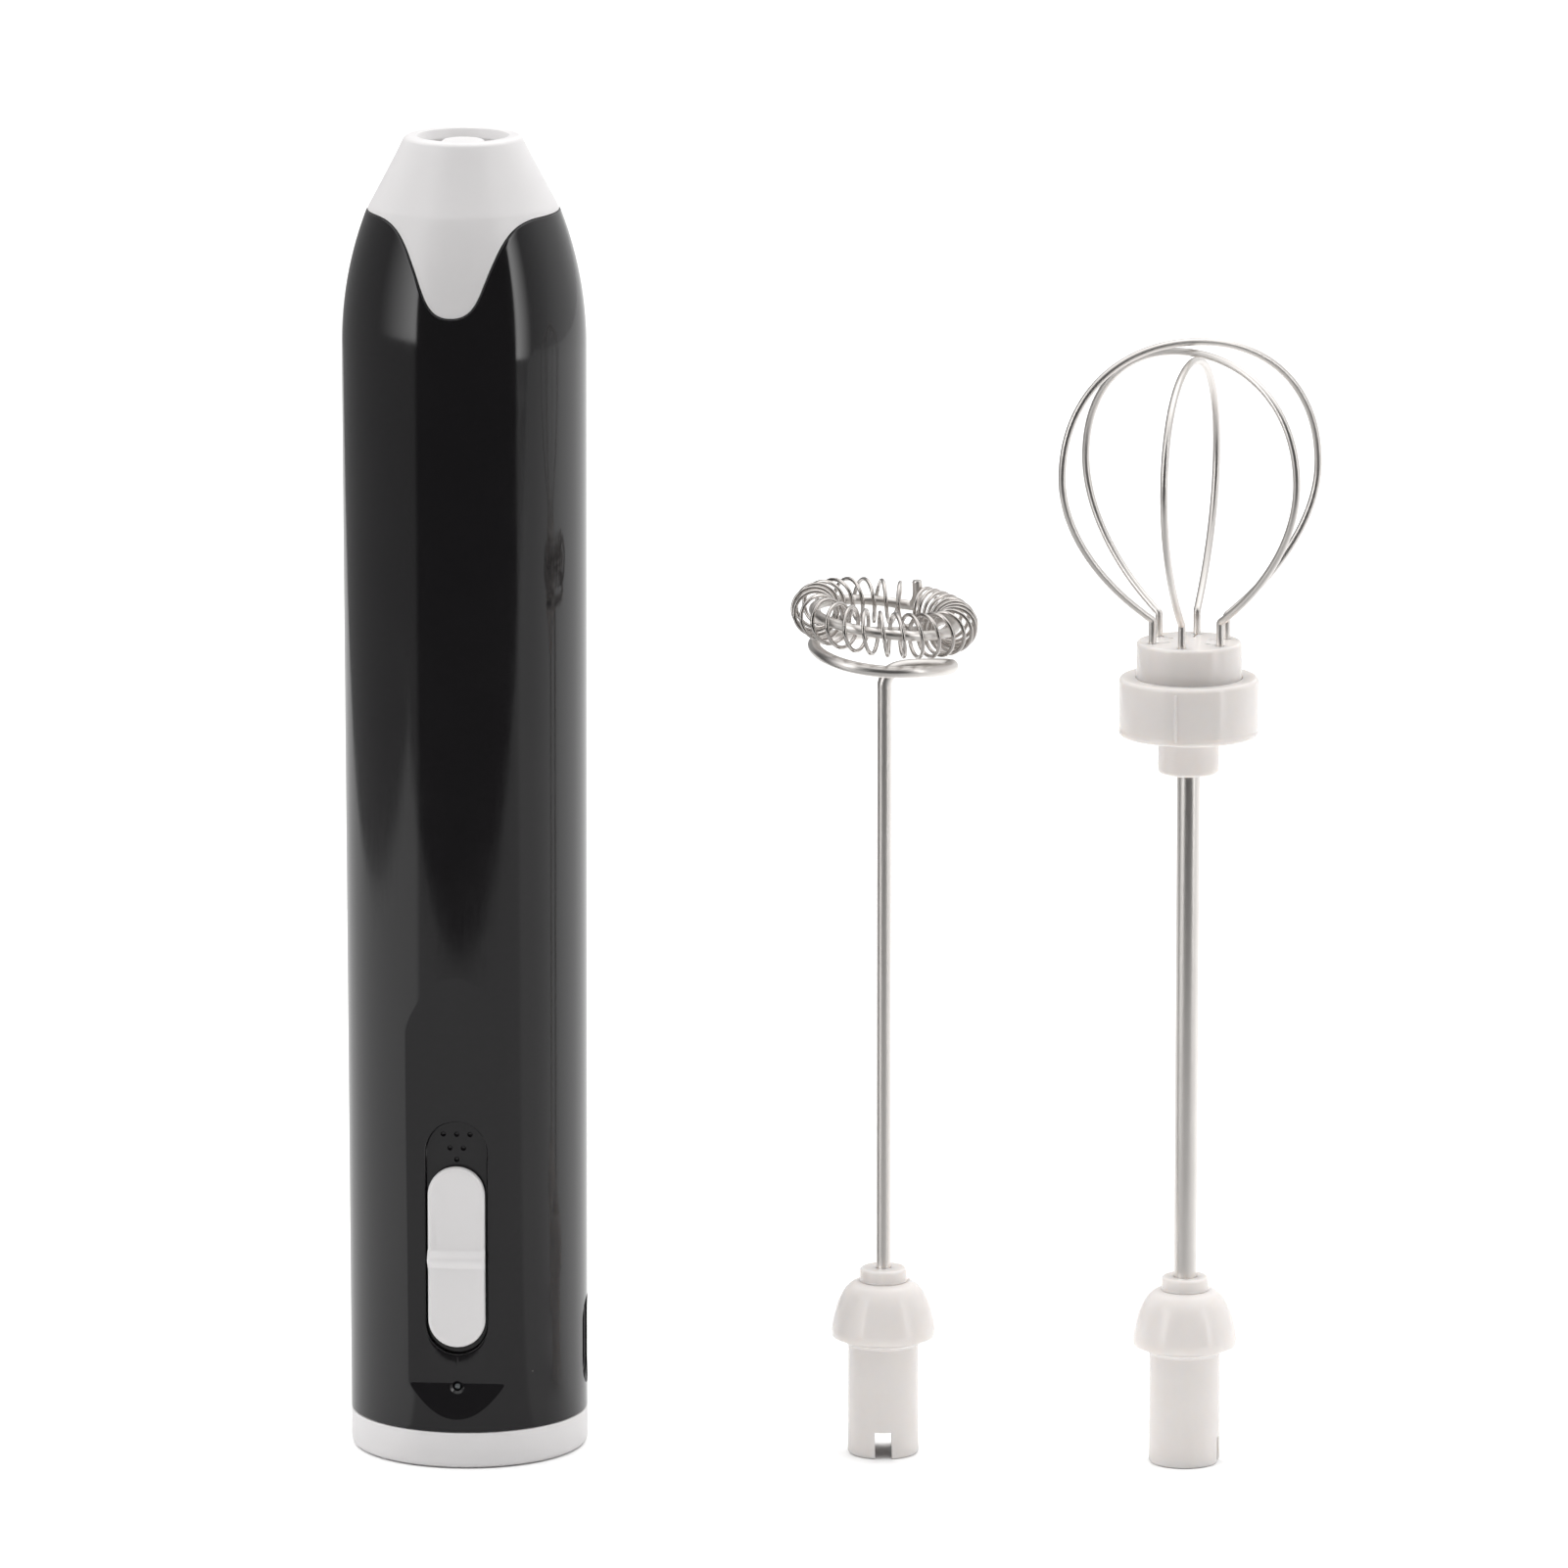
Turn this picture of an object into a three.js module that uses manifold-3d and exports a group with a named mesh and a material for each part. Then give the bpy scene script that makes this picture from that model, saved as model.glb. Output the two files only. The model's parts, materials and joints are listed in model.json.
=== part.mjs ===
// Rechargeable hand milk frother with two slip-on whisks, standing in a row.
// Millimetres, +Z up. The origin is the centre of the handle's foot, and the thumb switch faces -Y.
// The coil frother and the balloon whisk stand on their sockets at the handle's +X side.

import * as THREE from 'three';
import { mergeVertices } from 'three/addons/utils/BufferGeometryUtils.js';
import Module from 'manifold-3d';

const wasm = await Module();
wasm.setup();

// ---- driving sizes ---------------------------------------------------------------------------

const GAP = 0.3;                  // left between two pieces that touch

// sides of the round pieces
const CASING_SIDES = 40;
const ROUND_SIDES = 28;
const SMALL_SIDES = 16;

// handle casing
const WALL = 1.9;
const TAPER = 0.35;               // the casing widens a little up to the shoulder
const CAP_H = 4.9;                // visible height of the base cap
const CAP_SPIGOT = 4.3;           // how far the cap plugs into the casing
const SHOULDER_RADIUS = 49;       // arc that rounds the casing in to the nose
const SHOULDER_H = 18.4;
const NOSE_CONE_H = 9.1;
const RIM_WALL = 2.15;            // thickness of the nose at its rim
const RIM_ROUND = 0.9;
const SEAM_DROP = 0.6;            // casing to nose seam, below the top of the shoulder
const TONGUE_DROP = 12.6;         // the nose's tongues, below the top of the shoulder
const TONGUE_HALF_W = 5.2;        // half width of a tongue at its waist
const TONGUE_WAIST = 6.5;         // height of the waist above the tip
const TONGUE_ROOT = 11;           // half width where the seam turns level
const CAP_FLOOR_T = 2.0;         // base cap's floor
const CAP_LIP = 2.2;              // wall of the base cap's spigot

// bought-in parts
const CELL_R = 9.2;               // 18650 lithium cell
const CELL_SPACE = 4.5;           // room around the cell for the frame and the leads
const CELL_L = 65;
const TAB_T = 0.5;
const MOTOR_L = 28.5;
const SHAFT_R = 1.0;
const BEARING_PLAY = 0.08;
const BEARING_R = 2.6;
const BOSS_OUT_R = 4.0;
const CAN_WALL = 0.8;
const CAP_T = 3.0;                // motor's plastic end cap
const MAGNET_T = 2.0;
const AIR_GAP = 0.45;
const STACK_L = 14;               // armature laminations and magnets
const STACK_RISE = 8.2;           // from the motor's end to the laminations
const ARM_HUB_R = 3.0;
const ARM_W = 2.2;
const SHOE_T = 1.3;
const BRUSH_X = 2.9;
const TAIL_Y = -8.5;              // front tails of the brushes

// inner frame
const FRAME_WALL = 1.2;
const BULKHEAD_T = 1.5;
const FRAME_FRONT = 5;            // the shell below the motor stands behind this
const LEAD_WINDOW_HALF = 6.5;     // openings in the bulkheads for the leads

// drive socket
const SOCKET_DEPTH = 15.2;
const SOCKET_FLOOR_T = 2.0;
const BARREL_WALL = 1.6;
const SKIRT_WALL = 1.2;
const SEAL_R = 4.0;
const SEAL_T = 2.6;
const SHAFT_HOLE_R = SHAFT_R + 0.6;
const SHAFT_REACH = 11;           // shaft inside the drive spindle
const RIM_TO_SPINDLE = 0.6;       // the spindle's tip is this far below the rim
const SOCKET_SPACE = 0.7;         // round a whisk's shank
const SPINDLE_R = 2.95;
const DOG_W = 1.7;                // driving ribs at the spindle's root
const DOG_H = 3.2;

// thumb panel and slide switch
const PANEL_DEPTH = 1.35;         // how far the flat is cut into the casing
const PANEL_BOTTOM = 6.7;
const PANEL_ABOVE = 19.1;         // from the switch's recess to the top of the flat
const PANEL_RAMP_LOW = 4.55;
const PANEL_RAMP_HIGH = 6.5;
const RECESS_W = 8.1;
const RECESS_DEPTH = 0.9;
const KNOB_BOTTOM = 16.2;
const KNOB_L = 24.2;
const KNOB_T = 1.2;
const RIB_T = 2.2;                // grip rib across the knob
const RIB_H = 0.8;
const SWITCH_TRAVEL = 5.6;
const RIB_Z = KNOB_BOTTOM + 11.9;
const LEVER_W = 2.0;
const LEVER_T = 1.4;
const FINGER_T = 1.3;             // the knob's two fingers hold the switch's lever
const FINGER_SPAN = LEVER_T + 2 * GAP + 2 * FINGER_T;
const STEM_W = 2.4;
const LIGHT_PIPE_R = 0.45;
const DOT_R = 0.3;
const DOT_PITCH = 1.76;
const DOT_ROWS = [{ below: 1.8, count: 3 }, { below: 3.65, count: 2 }, { below: 5.2, count: 1 }];

// charging socket
const PORT_W = 2.9;
const PORT_H = 7.5;
const PORT_L = 5.6;
const PORT_WALL = 0.3;
const PORT_DISH_DEPTH = 0.45;
const PORT_HOLE_W = PORT_W + 1.3;
const PORT_HOLE_H = PORT_H + 0.9;
const PORT_DISH_W = PORT_HOLE_W + 1.7;
const PORT_DISH_H = PORT_HOLE_H + 3.3;

// boards and leads
const BOARD_T = 1.2;
const CHARGE_BOARD_Y = PORT_W / 2 + GAP;
const PILLAR_R = 2.2;
const SCREW_R = 0.9;
const SCREW_HEAD_R = 1.7;
const SCREW_L = 6;
const LEAD_R = 0.5;
const HOUSING_T = 2;              // slide switch on the board
const HOUSING_BELOW = 8;          // its ends, below and above the lever's run
const HOUSING_ABOVE = 4;
const HOUSING_HALF_W = 4.2;
const HOUSING_BACK_T = 0.5;
const SCREW_EDGE = 3.4;           // screw to the side edge of the main board
const SCREW_HEAD_T = 1.2;
const SCREW_SLOT_W = 0.4;
const CHARGE_BOARD_LEFT = 1.5;
const CHARGE_BOARD_ABOVE = 12;    // above the middle of the port
const LED_T = 0.8;
const LEAD_SPACING = 1;           // battery leads, each side of the middle

// slip-on coupler shared by both whisks
const SHANK_WALL = 1.55;
const SHANK_H = 15.0;
const COUPLER_BORE_R = SPINDLE_R + 0.15;
const SHANK_R = COUPLER_BORE_R + SHANK_WALL;
const COUPLER_BORE_DEPTH = 16.0;
const DOME_PROUD = 2.2;
const DOME_TOP = 23.2;
const NECK_WALL = 1.3;
const NECK_TOP = 25.0;
const SLOT_W = 2.2;
const SLOT_H = 3.6;
const ROD_SEAT = 17.6;            // where a rod bottoms in the coupler

// coil frother
const FROTHER_AT = [55.0, -1.4];
const FROTHER_TURN = 5;           // degrees about its own axis
const WIRE_R = 0.95;
const HEAD_WIRE_R = 0.68;         // the wire is drawn down from its spoke on
const WIRE_BEND = 3.2;
const RING_R = 9.2;
const RING_Z = 111.95;
const RING_TILT_X = -1.05;        // the ring stands a little lower on its right
const RING_TILT_Y = 0.4;
const LOWER_TURN_GAP = 1.78;      // below the coil
const COIL_PLAY = 2.07;           // between the ring's wire and the coil's mean radius
const COIL_WIRE_R = 0.24;
const COIL_TURNS = 26;
const COIL_START = 41;            // degrees, turning clockwise seen from above
const COIL_SWEEP = 328;
const COIL_CROWDING = 1.2;
const RING_END = -658;            // 62 degrees, on the second turn
const RING_STOP_H = 3.6;
const LOWER_TURN = [              // degrees and rise of the open turn
  [-28, -0.5], [-60, -0.1], [-90, 0.1], [-120, 0.6], [-150, 1.3], [-180, 1.9],
  [-215, 1.8], [-255, 1.7], [-288, 1.8], [-305, 2.4], [-320, 3.9],
];

// balloon whisk
const WHISK_AT = [94.8, -2.7];
const WHISK_TURN = 85;
const ROD_R = 1.5;
const HUB_BOTTOM = 92.4;
const BOSS_WALL = 2.2;
const BOSS_H = 5.1;
const HUB_WALL = 2.0;
const HUB_RING_H = 7.6;
const HUB_CUP_DEPTH = 3.1;
const HUB_FLOOR_T = 1.0;
const PLUG_EDGE = 1.8;            // plug outside the wires' feet
const PLUG_PROUD = 4.7;
const LOOP_WIRE_R = 0.5;
const LOOP_FOOT_R = 5.1;
const LOOP_FOOT_DEPTH = 5.6;
const LOOP_KINK_H = 2.8;
const LOOP_R = 17.6;
const LOOP_WIDEST_H = 22.4;       // above the plug's top face
const PLUG_TOP = HUB_BOTTOM + BOSS_H + HUB_RING_H + PLUG_PROUD;
const LOOPS = [
  { name: 'whisk_loop_outer', angle: 23, height: 39.4 },
  { name: 'whisk_loop_middle', angle: 144, height: 38.0 },
  { name: 'whisk_loop_inner', angle: 82, height: 36.6 },
];

// ---- places worked out from the sizes above ---------------------------------------------------

const INNER_R = CELL_R + CELL_SPACE;              // bore of the casing
const FOOT_R = INNER_R + WALL;
const CREST_R = FOOT_R + TAPER;
const PANEL_Y = -(FOOT_R + 0.05 - PANEL_DEPTH);   // outer face of the flat
const INNER_FLAT_Y = PANEL_Y + WALL;              // inner face behind the flat
const RECESS_Y = PANEL_Y + RECESS_DEPTH;
const CASING_BOTTOM = CAP_H + GAP;
const SPIGOT_TOP = CAP_H + CAP_SPIGOT;
const FRAME_BOTTOM = SPIGOT_TOP + GAP;
const FRAME_R = INNER_R - GAP;
const RECESS_BOTTOM = KNOB_BOTTOM - 1;
const RECESS_TOP = KNOB_BOTTOM + KNOB_L + SWITCH_TRAVEL + 0.4;
const KNOB_W = RECESS_W - 2 * GAP;
const PANEL_TOP = RECESS_TOP + PANEL_ABOVE;
const LED_Z = FRAME_BOTTOM + 1.3;
const PORT_Z = FRAME_BOTTOM + PORT_H / 2 + 0.95;
const HOUSING_Y = INNER_FLAT_Y + 0.4;             // front of the slide switch
const BOARD_Y = HOUSING_Y + HOUSING_T + GAP;      // front face of the main board
const BOARD_HALF = Math.sqrt(INNER_R ** 2 - BOARD_Y ** 2) - 0.7;
const HOUSING_TOP = RIB_Z + SWITCH_TRAVEL + HOUSING_ABOVE;
const UPPER_SCREW_Z = HOUSING_TOP + 3.8;
const BOARD_TOP = UPPER_SCREW_Z + 7.9;
const BOARD_SCREWS = {
  board_screw_lower: { x: SCREW_EDGE - BOARD_HALF, z: FRAME_BOTTOM + 5, y: BOARD_Y },
  board_screw_upper: { x: BOARD_HALF - SCREW_EDGE, z: UPPER_SCREW_Z, y: BOARD_Y },
  charge_board_screw: { x: 6, z: PORT_Z + 8.3, y: CHARGE_BOARD_Y },
};
const LEAD_Y = BOARD_Y - GAP - LEAD_R;
const CELL_FLOOR = BOARD_TOP + 0.8 + BULKHEAD_T;
const CELL_BOTTOM = CELL_FLOOR + 2 * GAP + TAB_T;
const CELL_TOP = CELL_BOTTOM + CELL_L;
const UPPER_TAB = CELL_TOP + GAP;
const MOTOR_SHELF = UPPER_TAB + TAB_T + GAP;
const MOTOR_BOTTOM = MOTOR_SHELF + BULKHEAD_T + GAP;
const MOTOR_TOP = MOTOR_BOTTOM + MOTOR_L;
const SHOULDER_Z = MOTOR_TOP - 2.2;
const CONE_Z = SHOULDER_Z + SHOULDER_H;
const RIM_Z = CONE_Z + NOSE_CONE_H;
const SOCKET_FLOOR = RIM_Z - SOCKET_DEPTH;
const MOTOR_R = FRAME_R - FRAME_WALL - GAP;
const MAGNET_R = MOTOR_R - CAN_WALL - GAP;
const ARMATURE_R = MAGNET_R - MAGNET_T - AIR_GAP;
const STACK_Z = MOTOR_BOTTOM + STACK_RISE;
const TONGUE_TIP = CONE_Z - TONGUE_DROP;
const SEAM_LEVEL = CONE_Z - SEAM_DROP;            // casing to nose seam at the sides
const SOCKET_R = SHANK_R + SOCKET_SPACE;          // bore in the nose that takes a whisk's shank
const RIM_R = SOCKET_R + RIM_WALL;
const DOME_R = SHANK_R + DOME_PROUD;
const NECK_R = ROD_R + GAP + NECK_WALL;
const COIL_R = HEAD_WIRE_R + COIL_PLAY;
const LOWER_TURN_Z = RING_Z - COIL_R - COIL_WIRE_R - HEAD_WIRE_R - LOWER_TURN_GAP;
const WIRE_TOP = LOWER_TURN_Z - 1.1;              // height of the spoke that leaves the shaft
const BOSS_R = ROD_R + GAP + BOSS_WALL;
const PLUG_R = LOOP_FOOT_R + PLUG_EDGE;
const HUB_R = PLUG_R + GAP + HUB_WALL;
const CUP_FLOOR = PLUG_TOP - PLUG_PROUD - HUB_CUP_DEPTH;
const ROD_TOP = CUP_FLOOR - HUB_FLOOR_T - GAP;

// ---- small helpers ------------------------------------------------------------------------------

const radians = (degrees) => THREE.MathUtils.degToRad(degrees);
const point2 = (x, y) => new THREE.Vector2(x, y);
const point3 = (x, y, z) => new THREE.Vector3(x, y, z);

// A closed triangle mesh, with the triangles that collapse on an axis dropped.
function toSolid(geometry) {
  const bare = geometry.clone();
  bare.deleteAttribute('normal');
  bare.deleteAttribute('uv');
  const merged = mergeVertices(bare, 1e-4);
  const index = merged.index.array;
  const triangles = [];
  for (let i = 0; i < index.length; i += 3) {
    const [a, b, c] = [index[i], index[i + 1], index[i + 2]];
    if (a !== b && b !== c && c !== a) triangles.push(a, b, c);
  }
  const vertProperties = Float32Array.from(merged.getAttribute('position').array);
  const triVerts = Uint32Array.from(triangles);
  return new wasm.Manifold(new wasm.Mesh({ numProp: 3, vertProperties, triVerts }));
}

function toGeometry(solid) {
  const mesh = solid.getMesh();
  const geometry = new THREE.BufferGeometry();
  geometry.setAttribute('position', new THREE.BufferAttribute(mesh.vertProperties, 3));
  geometry.setIndex(new THREE.BufferAttribute(mesh.triVerts, 1));
  geometry.computeVertexNormals();
  return geometry;
}

// Turns an outline of [radius, z] points about Z. The outline runs up the outside.
function lathe(outline, segments = ROUND_SIDES) {
  const points = outline.map(([r, z]) => point2(r, z));
  points.push(points[0].clone());
  const geometry = new THREE.LatheGeometry(points, segments);
  geometry.rotateX(Math.PI / 2);
  return toSolid(geometry);
}

const disc = (r, z0, z1, segments) => lathe([[0, z0], [r, z0], [r, z1], [0, z1]], segments);

const ring = (rIn, rOut, z0, z1, segments) =>
  lathe([[rIn, z0], [rOut, z0], [rOut, z1], [rIn, z1]], segments);

function block(x0, x1, y0, y1, z0, z1) {
  const geometry = new THREE.BoxGeometry(x1 - x0, y1 - y0, z1 - z0);
  geometry.translate((x0 + x1) / 2, (y0 + y1) / 2, (z0 + z1) / 2);
  return toSolid(geometry);
}

// A round bar along Y.
function barY(r, x, z, y0, y1, segments = 16) {
  const geometry = new THREE.CylinderGeometry(r, r, y1 - y0, segments);
  geometry.translate(x, (y0 + y1) / 2, z);
  return toSolid(geometry);
}

// An outline drawn in X and Z, made solid from y0 to y1.
function plateY(shape, y0, y1, curveSegments = 8) {
  const options = { depth: y1 - y0, bevelEnabled: false, curveSegments };
  const geometry = new THREE.ExtrudeGeometry(shape, options);
  geometry.rotateX(Math.PI / 2);
  geometry.translate(0, y1, 0);
  return toSolid(geometry);
}

// An outline drawn in Y and Z, made solid from x0 to x1.
function plateX(shape, x0, x1, curveSegments = 8) {
  const geometry = new THREE.ExtrudeGeometry(shape, { depth: x1 - x0, bevelEnabled: false, curveSegments });
  geometry.applyMatrix4(new THREE.Matrix4().makeBasis(point3(0, 1, 0), point3(0, 0, 1), point3(1, 0, 0)));
  geometry.translate(x0, 0, 0);
  return toSolid(geometry);
}

function pillShape(width, z0, z1) {
  const r = width / 2;
  const shape = new THREE.Shape();
  shape.moveTo(r, z0 + r);
  shape.lineTo(r, z1 - r);
  shape.absarc(0, z1 - r, r, 0, Math.PI, false);
  shape.lineTo(-r, z0 + r);
  shape.absarc(0, z0 + r, r, Math.PI, 2 * Math.PI, false);
  return shape;
}

// A round wire along a curve.
function wire(curve, r, sides, steps) {
  const section = new THREE.Shape();
  const corners = [];
  for (let i = 0; i < sides; i += 1) {
    const a = (2 * Math.PI * i) / sides;
    corners.push(point2(r * Math.cos(a), r * Math.sin(a)));
  }
  section.setFromPoints(corners);
  return toSolid(new THREE.ExtrudeGeometry(section, { steps, extrudePath: curve, bevelEnabled: false }));
}

const union = (solids) => solids.reduce((all, next) => all.add(next));

// ---- materials --------------------------------------------------------------------------------

const finish = (color, roughness, metalness = 0) =>
  new THREE.MeshStandardMaterial({ color, roughness, metalness });

const blackGloss = finish('#232223', 0.12);
const whiteAbs = finish('#e3e3e4', 0.3);
const warmWhite = finish('#dcd6d3', 0.4);
const greyNylon = finish('#8b8d8f', 0.6);
const stainless = finish('#b9b6b2', 0.28, 1);
const plated = finish('#c8c8c6', 0.3, 1);
const bronze = finish('#a9763f', 0.4, 1);
const copper = finish('#b5653a', 0.35, 1);
const magnetBlack = finish('#3a3a3c', 0.5);
const boardGreen = finish('#1f6b3d', 0.5);
const sleeveBlue = finish('#2f63a8', 0.4);
const rubberBlack = finish('#1c1c1c', 0.8);
const leadRed = finish('#b3201f', 0.5);
const leadBlack = finish('#151515', 0.5);
const clear = finish('#e8f0f4', 0.1);

// ---- casing -------------------------------------------------------------------------------------

// Outer radius of the casing and nose at a height.
function casingRadius(z) {
  const conical = CREST_R - shoulderDrop(CONE_Z - SHOULDER_Z);
  if (z >= CONE_Z) {
    return THREE.MathUtils.lerp(conical, RIM_R + 0.4, (z - CONE_Z) / NOSE_CONE_H);
  }
  if (z > SHOULDER_Z) return CREST_R - shoulderDrop(z - SHOULDER_Z);
  return THREE.MathUtils.mapLinear(z, 0, SHOULDER_Z, FOOT_R, CREST_R);
}

function shoulderDrop(height) {
  return SHOULDER_RADIUS - Math.sqrt(SHOULDER_RADIUS ** 2 - height ** 2);
}

// Heights that follow the casing's outline between two levels.
function outlineLevels(z0, z1) {
  const levels = [z0, SHOULDER_Z];
  for (let i = 1; i <= 4; i += 1) levels.push(SHOULDER_Z + (SHOULDER_H * i) / 4);
  levels.push(z1);
  return levels.filter((z) => z >= z0 && z <= z1);
}

// The casing's seam with the nose: level at the sides, with a rounded tongue front and back.
// Returns everything above the seam, raised by `lift`.
function aboveSeam(lift) {
  const far = 2 * CREST_R;
  const top = RIM_Z + 10;
  const tip = TONGUE_TIP + lift;
  const level = SEAM_LEVEL + lift;
  const waist = [TONGUE_HALF_W, tip + TONGUE_WAIST];
  const shape = new THREE.Shape();
  shape.moveTo(0, tip);
  shape.bezierCurveTo(3.3, tip, 3.6, tip + 2.8, waist[0], waist[1]);
  shape.bezierCurveTo(waist[0] + 1.3, waist[1] + 3, TONGUE_ROOT - 3.4, level, TONGUE_ROOT, level);
  shape.lineTo(far, level);
  shape.lineTo(far, top);
  shape.lineTo(-far, top);
  shape.lineTo(-far, level);
  shape.lineTo(-TONGUE_ROOT, level);
  shape.bezierCurveTo(3.4 - TONGUE_ROOT, level, -waist[0] - 1.3, waist[1] + 3, -waist[0], waist[1]);
  shape.bezierCurveTo(-3.6, tip + 2.8, -3.3, tip, 0, tip);
  return plateY(shape, -far, far, 5);
}

// The flat cut for the thumb, with a ramp at each end.
function thumbPanelCut() {
  const out = -2 * FOOT_R;
  const profile = new THREE.Shape();
  profile.moveTo(out, PANEL_BOTTOM - 40);
  profile.lineTo(-FOOT_R - 0.02, PANEL_BOTTOM);
  profile.lineTo(PANEL_Y, PANEL_BOTTOM + PANEL_RAMP_LOW);
  profile.lineTo(PANEL_Y, PANEL_TOP - PANEL_RAMP_HIGH);
  profile.lineTo(-FOOT_R - 0.15, PANEL_TOP);
  profile.lineTo(out, PANEL_TOP + 80);
  return plateX(profile, -FOOT_R, FOOT_R);
}

// Pits that show the speeds, in rows of one, two and three.
function speedDots() {
  const dots = [];
  for (const row of DOT_ROWS) {
    for (let i = 0; i < row.count; i += 1) {
      const x = (i - (row.count - 1) / 2) * DOT_PITCH;
      dots.push(barY(DOT_R, x, RECESS_TOP - row.below, RECESS_Y - 1, RECESS_Y + 0.3, 8));
    }
  }
  return union(dots);
}

function bodyTube() {
  const levels = outlineLevels(CASING_BOTTOM, CONE_Z);
  const outside = levels.map((z) => [casingRadius(z), z]);
  const shell = lathe([[0, CASING_BOTTOM], ...outside, [0, CONE_Z]], CASING_SIDES);
  const shoulder = levels.filter((z) => z > SHOULDER_Z).map((z) => [casingRadius(z) - WALL, z]);
  const boreOutline = [[0, 0], [INNER_R, 0], [INNER_R, SHOULDER_Z], ...shoulder, [0, CONE_Z + 1]];
  const bore = lathe(boreOutline, CASING_SIDES);
  const behindPanel = block(-FOOT_R, FOOT_R, -2 * FOOT_R, INNER_FLAT_Y, 0, PANEL_TOP + 2);
  const recess = plateY(pillShape(RECESS_W, RECESS_BOTTOM, RECESS_TOP), PANEL_Y - 5, RECESS_Y);
  const slotHalf = FINGER_SPAN / 2 + GAP;
  const slot = block(-STEM_W / 2 - GAP, STEM_W / 2 + GAP, RECESS_Y - 1, INNER_FLAT_Y + 1,
    RIB_Z - slotHalf, RIB_Z + slotHalf + SWITCH_TRAVEL);
  const ledHole = barY(LIGHT_PIPE_R + 0.1, 0, LED_Z, -2 * FOOT_R, INNER_FLAT_Y + 1, 12);
  const ledRing = coneY(1.05, LIGHT_PIPE_R + 0.1, LED_Z, PANEL_Y - 0.01, PANEL_Y + 0.45);
  return shell
    .subtract(bore.subtract(behindPanel))
    .subtract(aboveSeam(-GAP / 2))
    .subtract(thumbPanelCut())
    .subtract(recess)
    .subtract(slot)
    .subtract(speedDots())
    .subtract(ledHole)
    .subtract(ledRing)
    .subtract(portCut());
}

// A cone along -Y, wide at its outer end y0.
function coneY(rOut, rIn, z, y0, y1) {
  const geometry = new THREE.CylinderGeometry(rIn, rOut, y1 - y0, 16);
  geometry.translate(0, (y0 + y1) / 2, z);
  return toSolid(geometry);
}

// The charging socket's opening and the shallow dish around it, on the +X side.
function portCut() {
  const flat = FOOT_R + 0.02 - PORT_DISH_DEPTH;
  const dish = plateX(pillShape(PORT_DISH_W, PORT_Z - PORT_DISH_H / 2, PORT_Z + PORT_DISH_H / 2),
    flat, 2 * FOOT_R);
  const hole = plateX(pillShape(PORT_HOLE_W, PORT_Z - PORT_HOLE_H / 2, PORT_Z + PORT_HOLE_H / 2),
    INNER_R - 2, 2 * FOOT_R);
  return dish.add(hole);
}

function noseCone() {
  const floor = SOCKET_FLOOR;
  const under = floor - SOCKET_FLOOR_T;
  const skirtWall = WALL + GAP + SKIRT_WALL;
  const bottom = TONGUE_TIP - 1.5;
  const barrelR = SOCKET_R + BARREL_WALL;
  const levels = outlineLevels(bottom, CONE_Z);
  const outside = levels.map((z) => [casingRadius(z), z]);
  const hollowTop = CONE_Z + 2.2;
  const inside = [...levels, hollowTop].reverse().map((z) => [casingRadius(z) - skirtWall, z]);
  const rimFace = RIM_R - RIM_ROUND;
  const blank = lathe([
    ...outside,
    [RIM_R + 0.4, RIM_Z - RIM_ROUND], [RIM_R + 0.1, RIM_Z - RIM_ROUND / 3], [rimFace, RIM_Z],
    [SOCKET_R + 0.25, RIM_Z], [SOCKET_R, RIM_Z - 0.25], [SOCKET_R, floor],
    [SHAFT_HOLE_R, floor], [SHAFT_HOLE_R, under], [SEAL_R + GAP, under],
    [SEAL_R + GAP, under - SEAL_T], [barrelR, under - SEAL_T], [barrelR, hollowTop],
    ...inside,
  ], CASING_SIDES);
  const casing = lathe([
    ...levels.map((z) => [casingRadius(z) - WALL - GAP, z - 0.01]).reverse(),
    [3 * FOOT_R, bottom - 1], [3 * FOOT_R, CONE_Z + 3], [casingRadius(CONE_Z) - WALL - GAP, CONE_Z + 3],
  ], CASING_SIDES);
  return blank.subtract(casing.subtract(aboveSeam(GAP / 2)));
}

function baseCap() {
  const inner = FRAME_R - CAP_LIP;
  const cup = lathe([
    [0, 0], [FOOT_R - 1, 0], [FOOT_R - 0.3, 0.3], [FOOT_R, 1.1], [FOOT_R, CAP_H],
    [FRAME_R, CAP_H], [FRAME_R, SPIGOT_TOP], [inner, SPIGOT_TOP], [inner, CAP_FLOOR_T], [0, CAP_FLOOR_T],
  ], CASING_SIDES);
  const panelSide = block(-FOOT_R, FOOT_R, -2 * FOOT_R, INNER_FLAT_Y + GAP, CAP_H, SPIGOT_TOP + 1);
  return cup.subtract(panelSide);
}

// ---- inner frame and electronics -----------------------------------------------------------------

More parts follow.
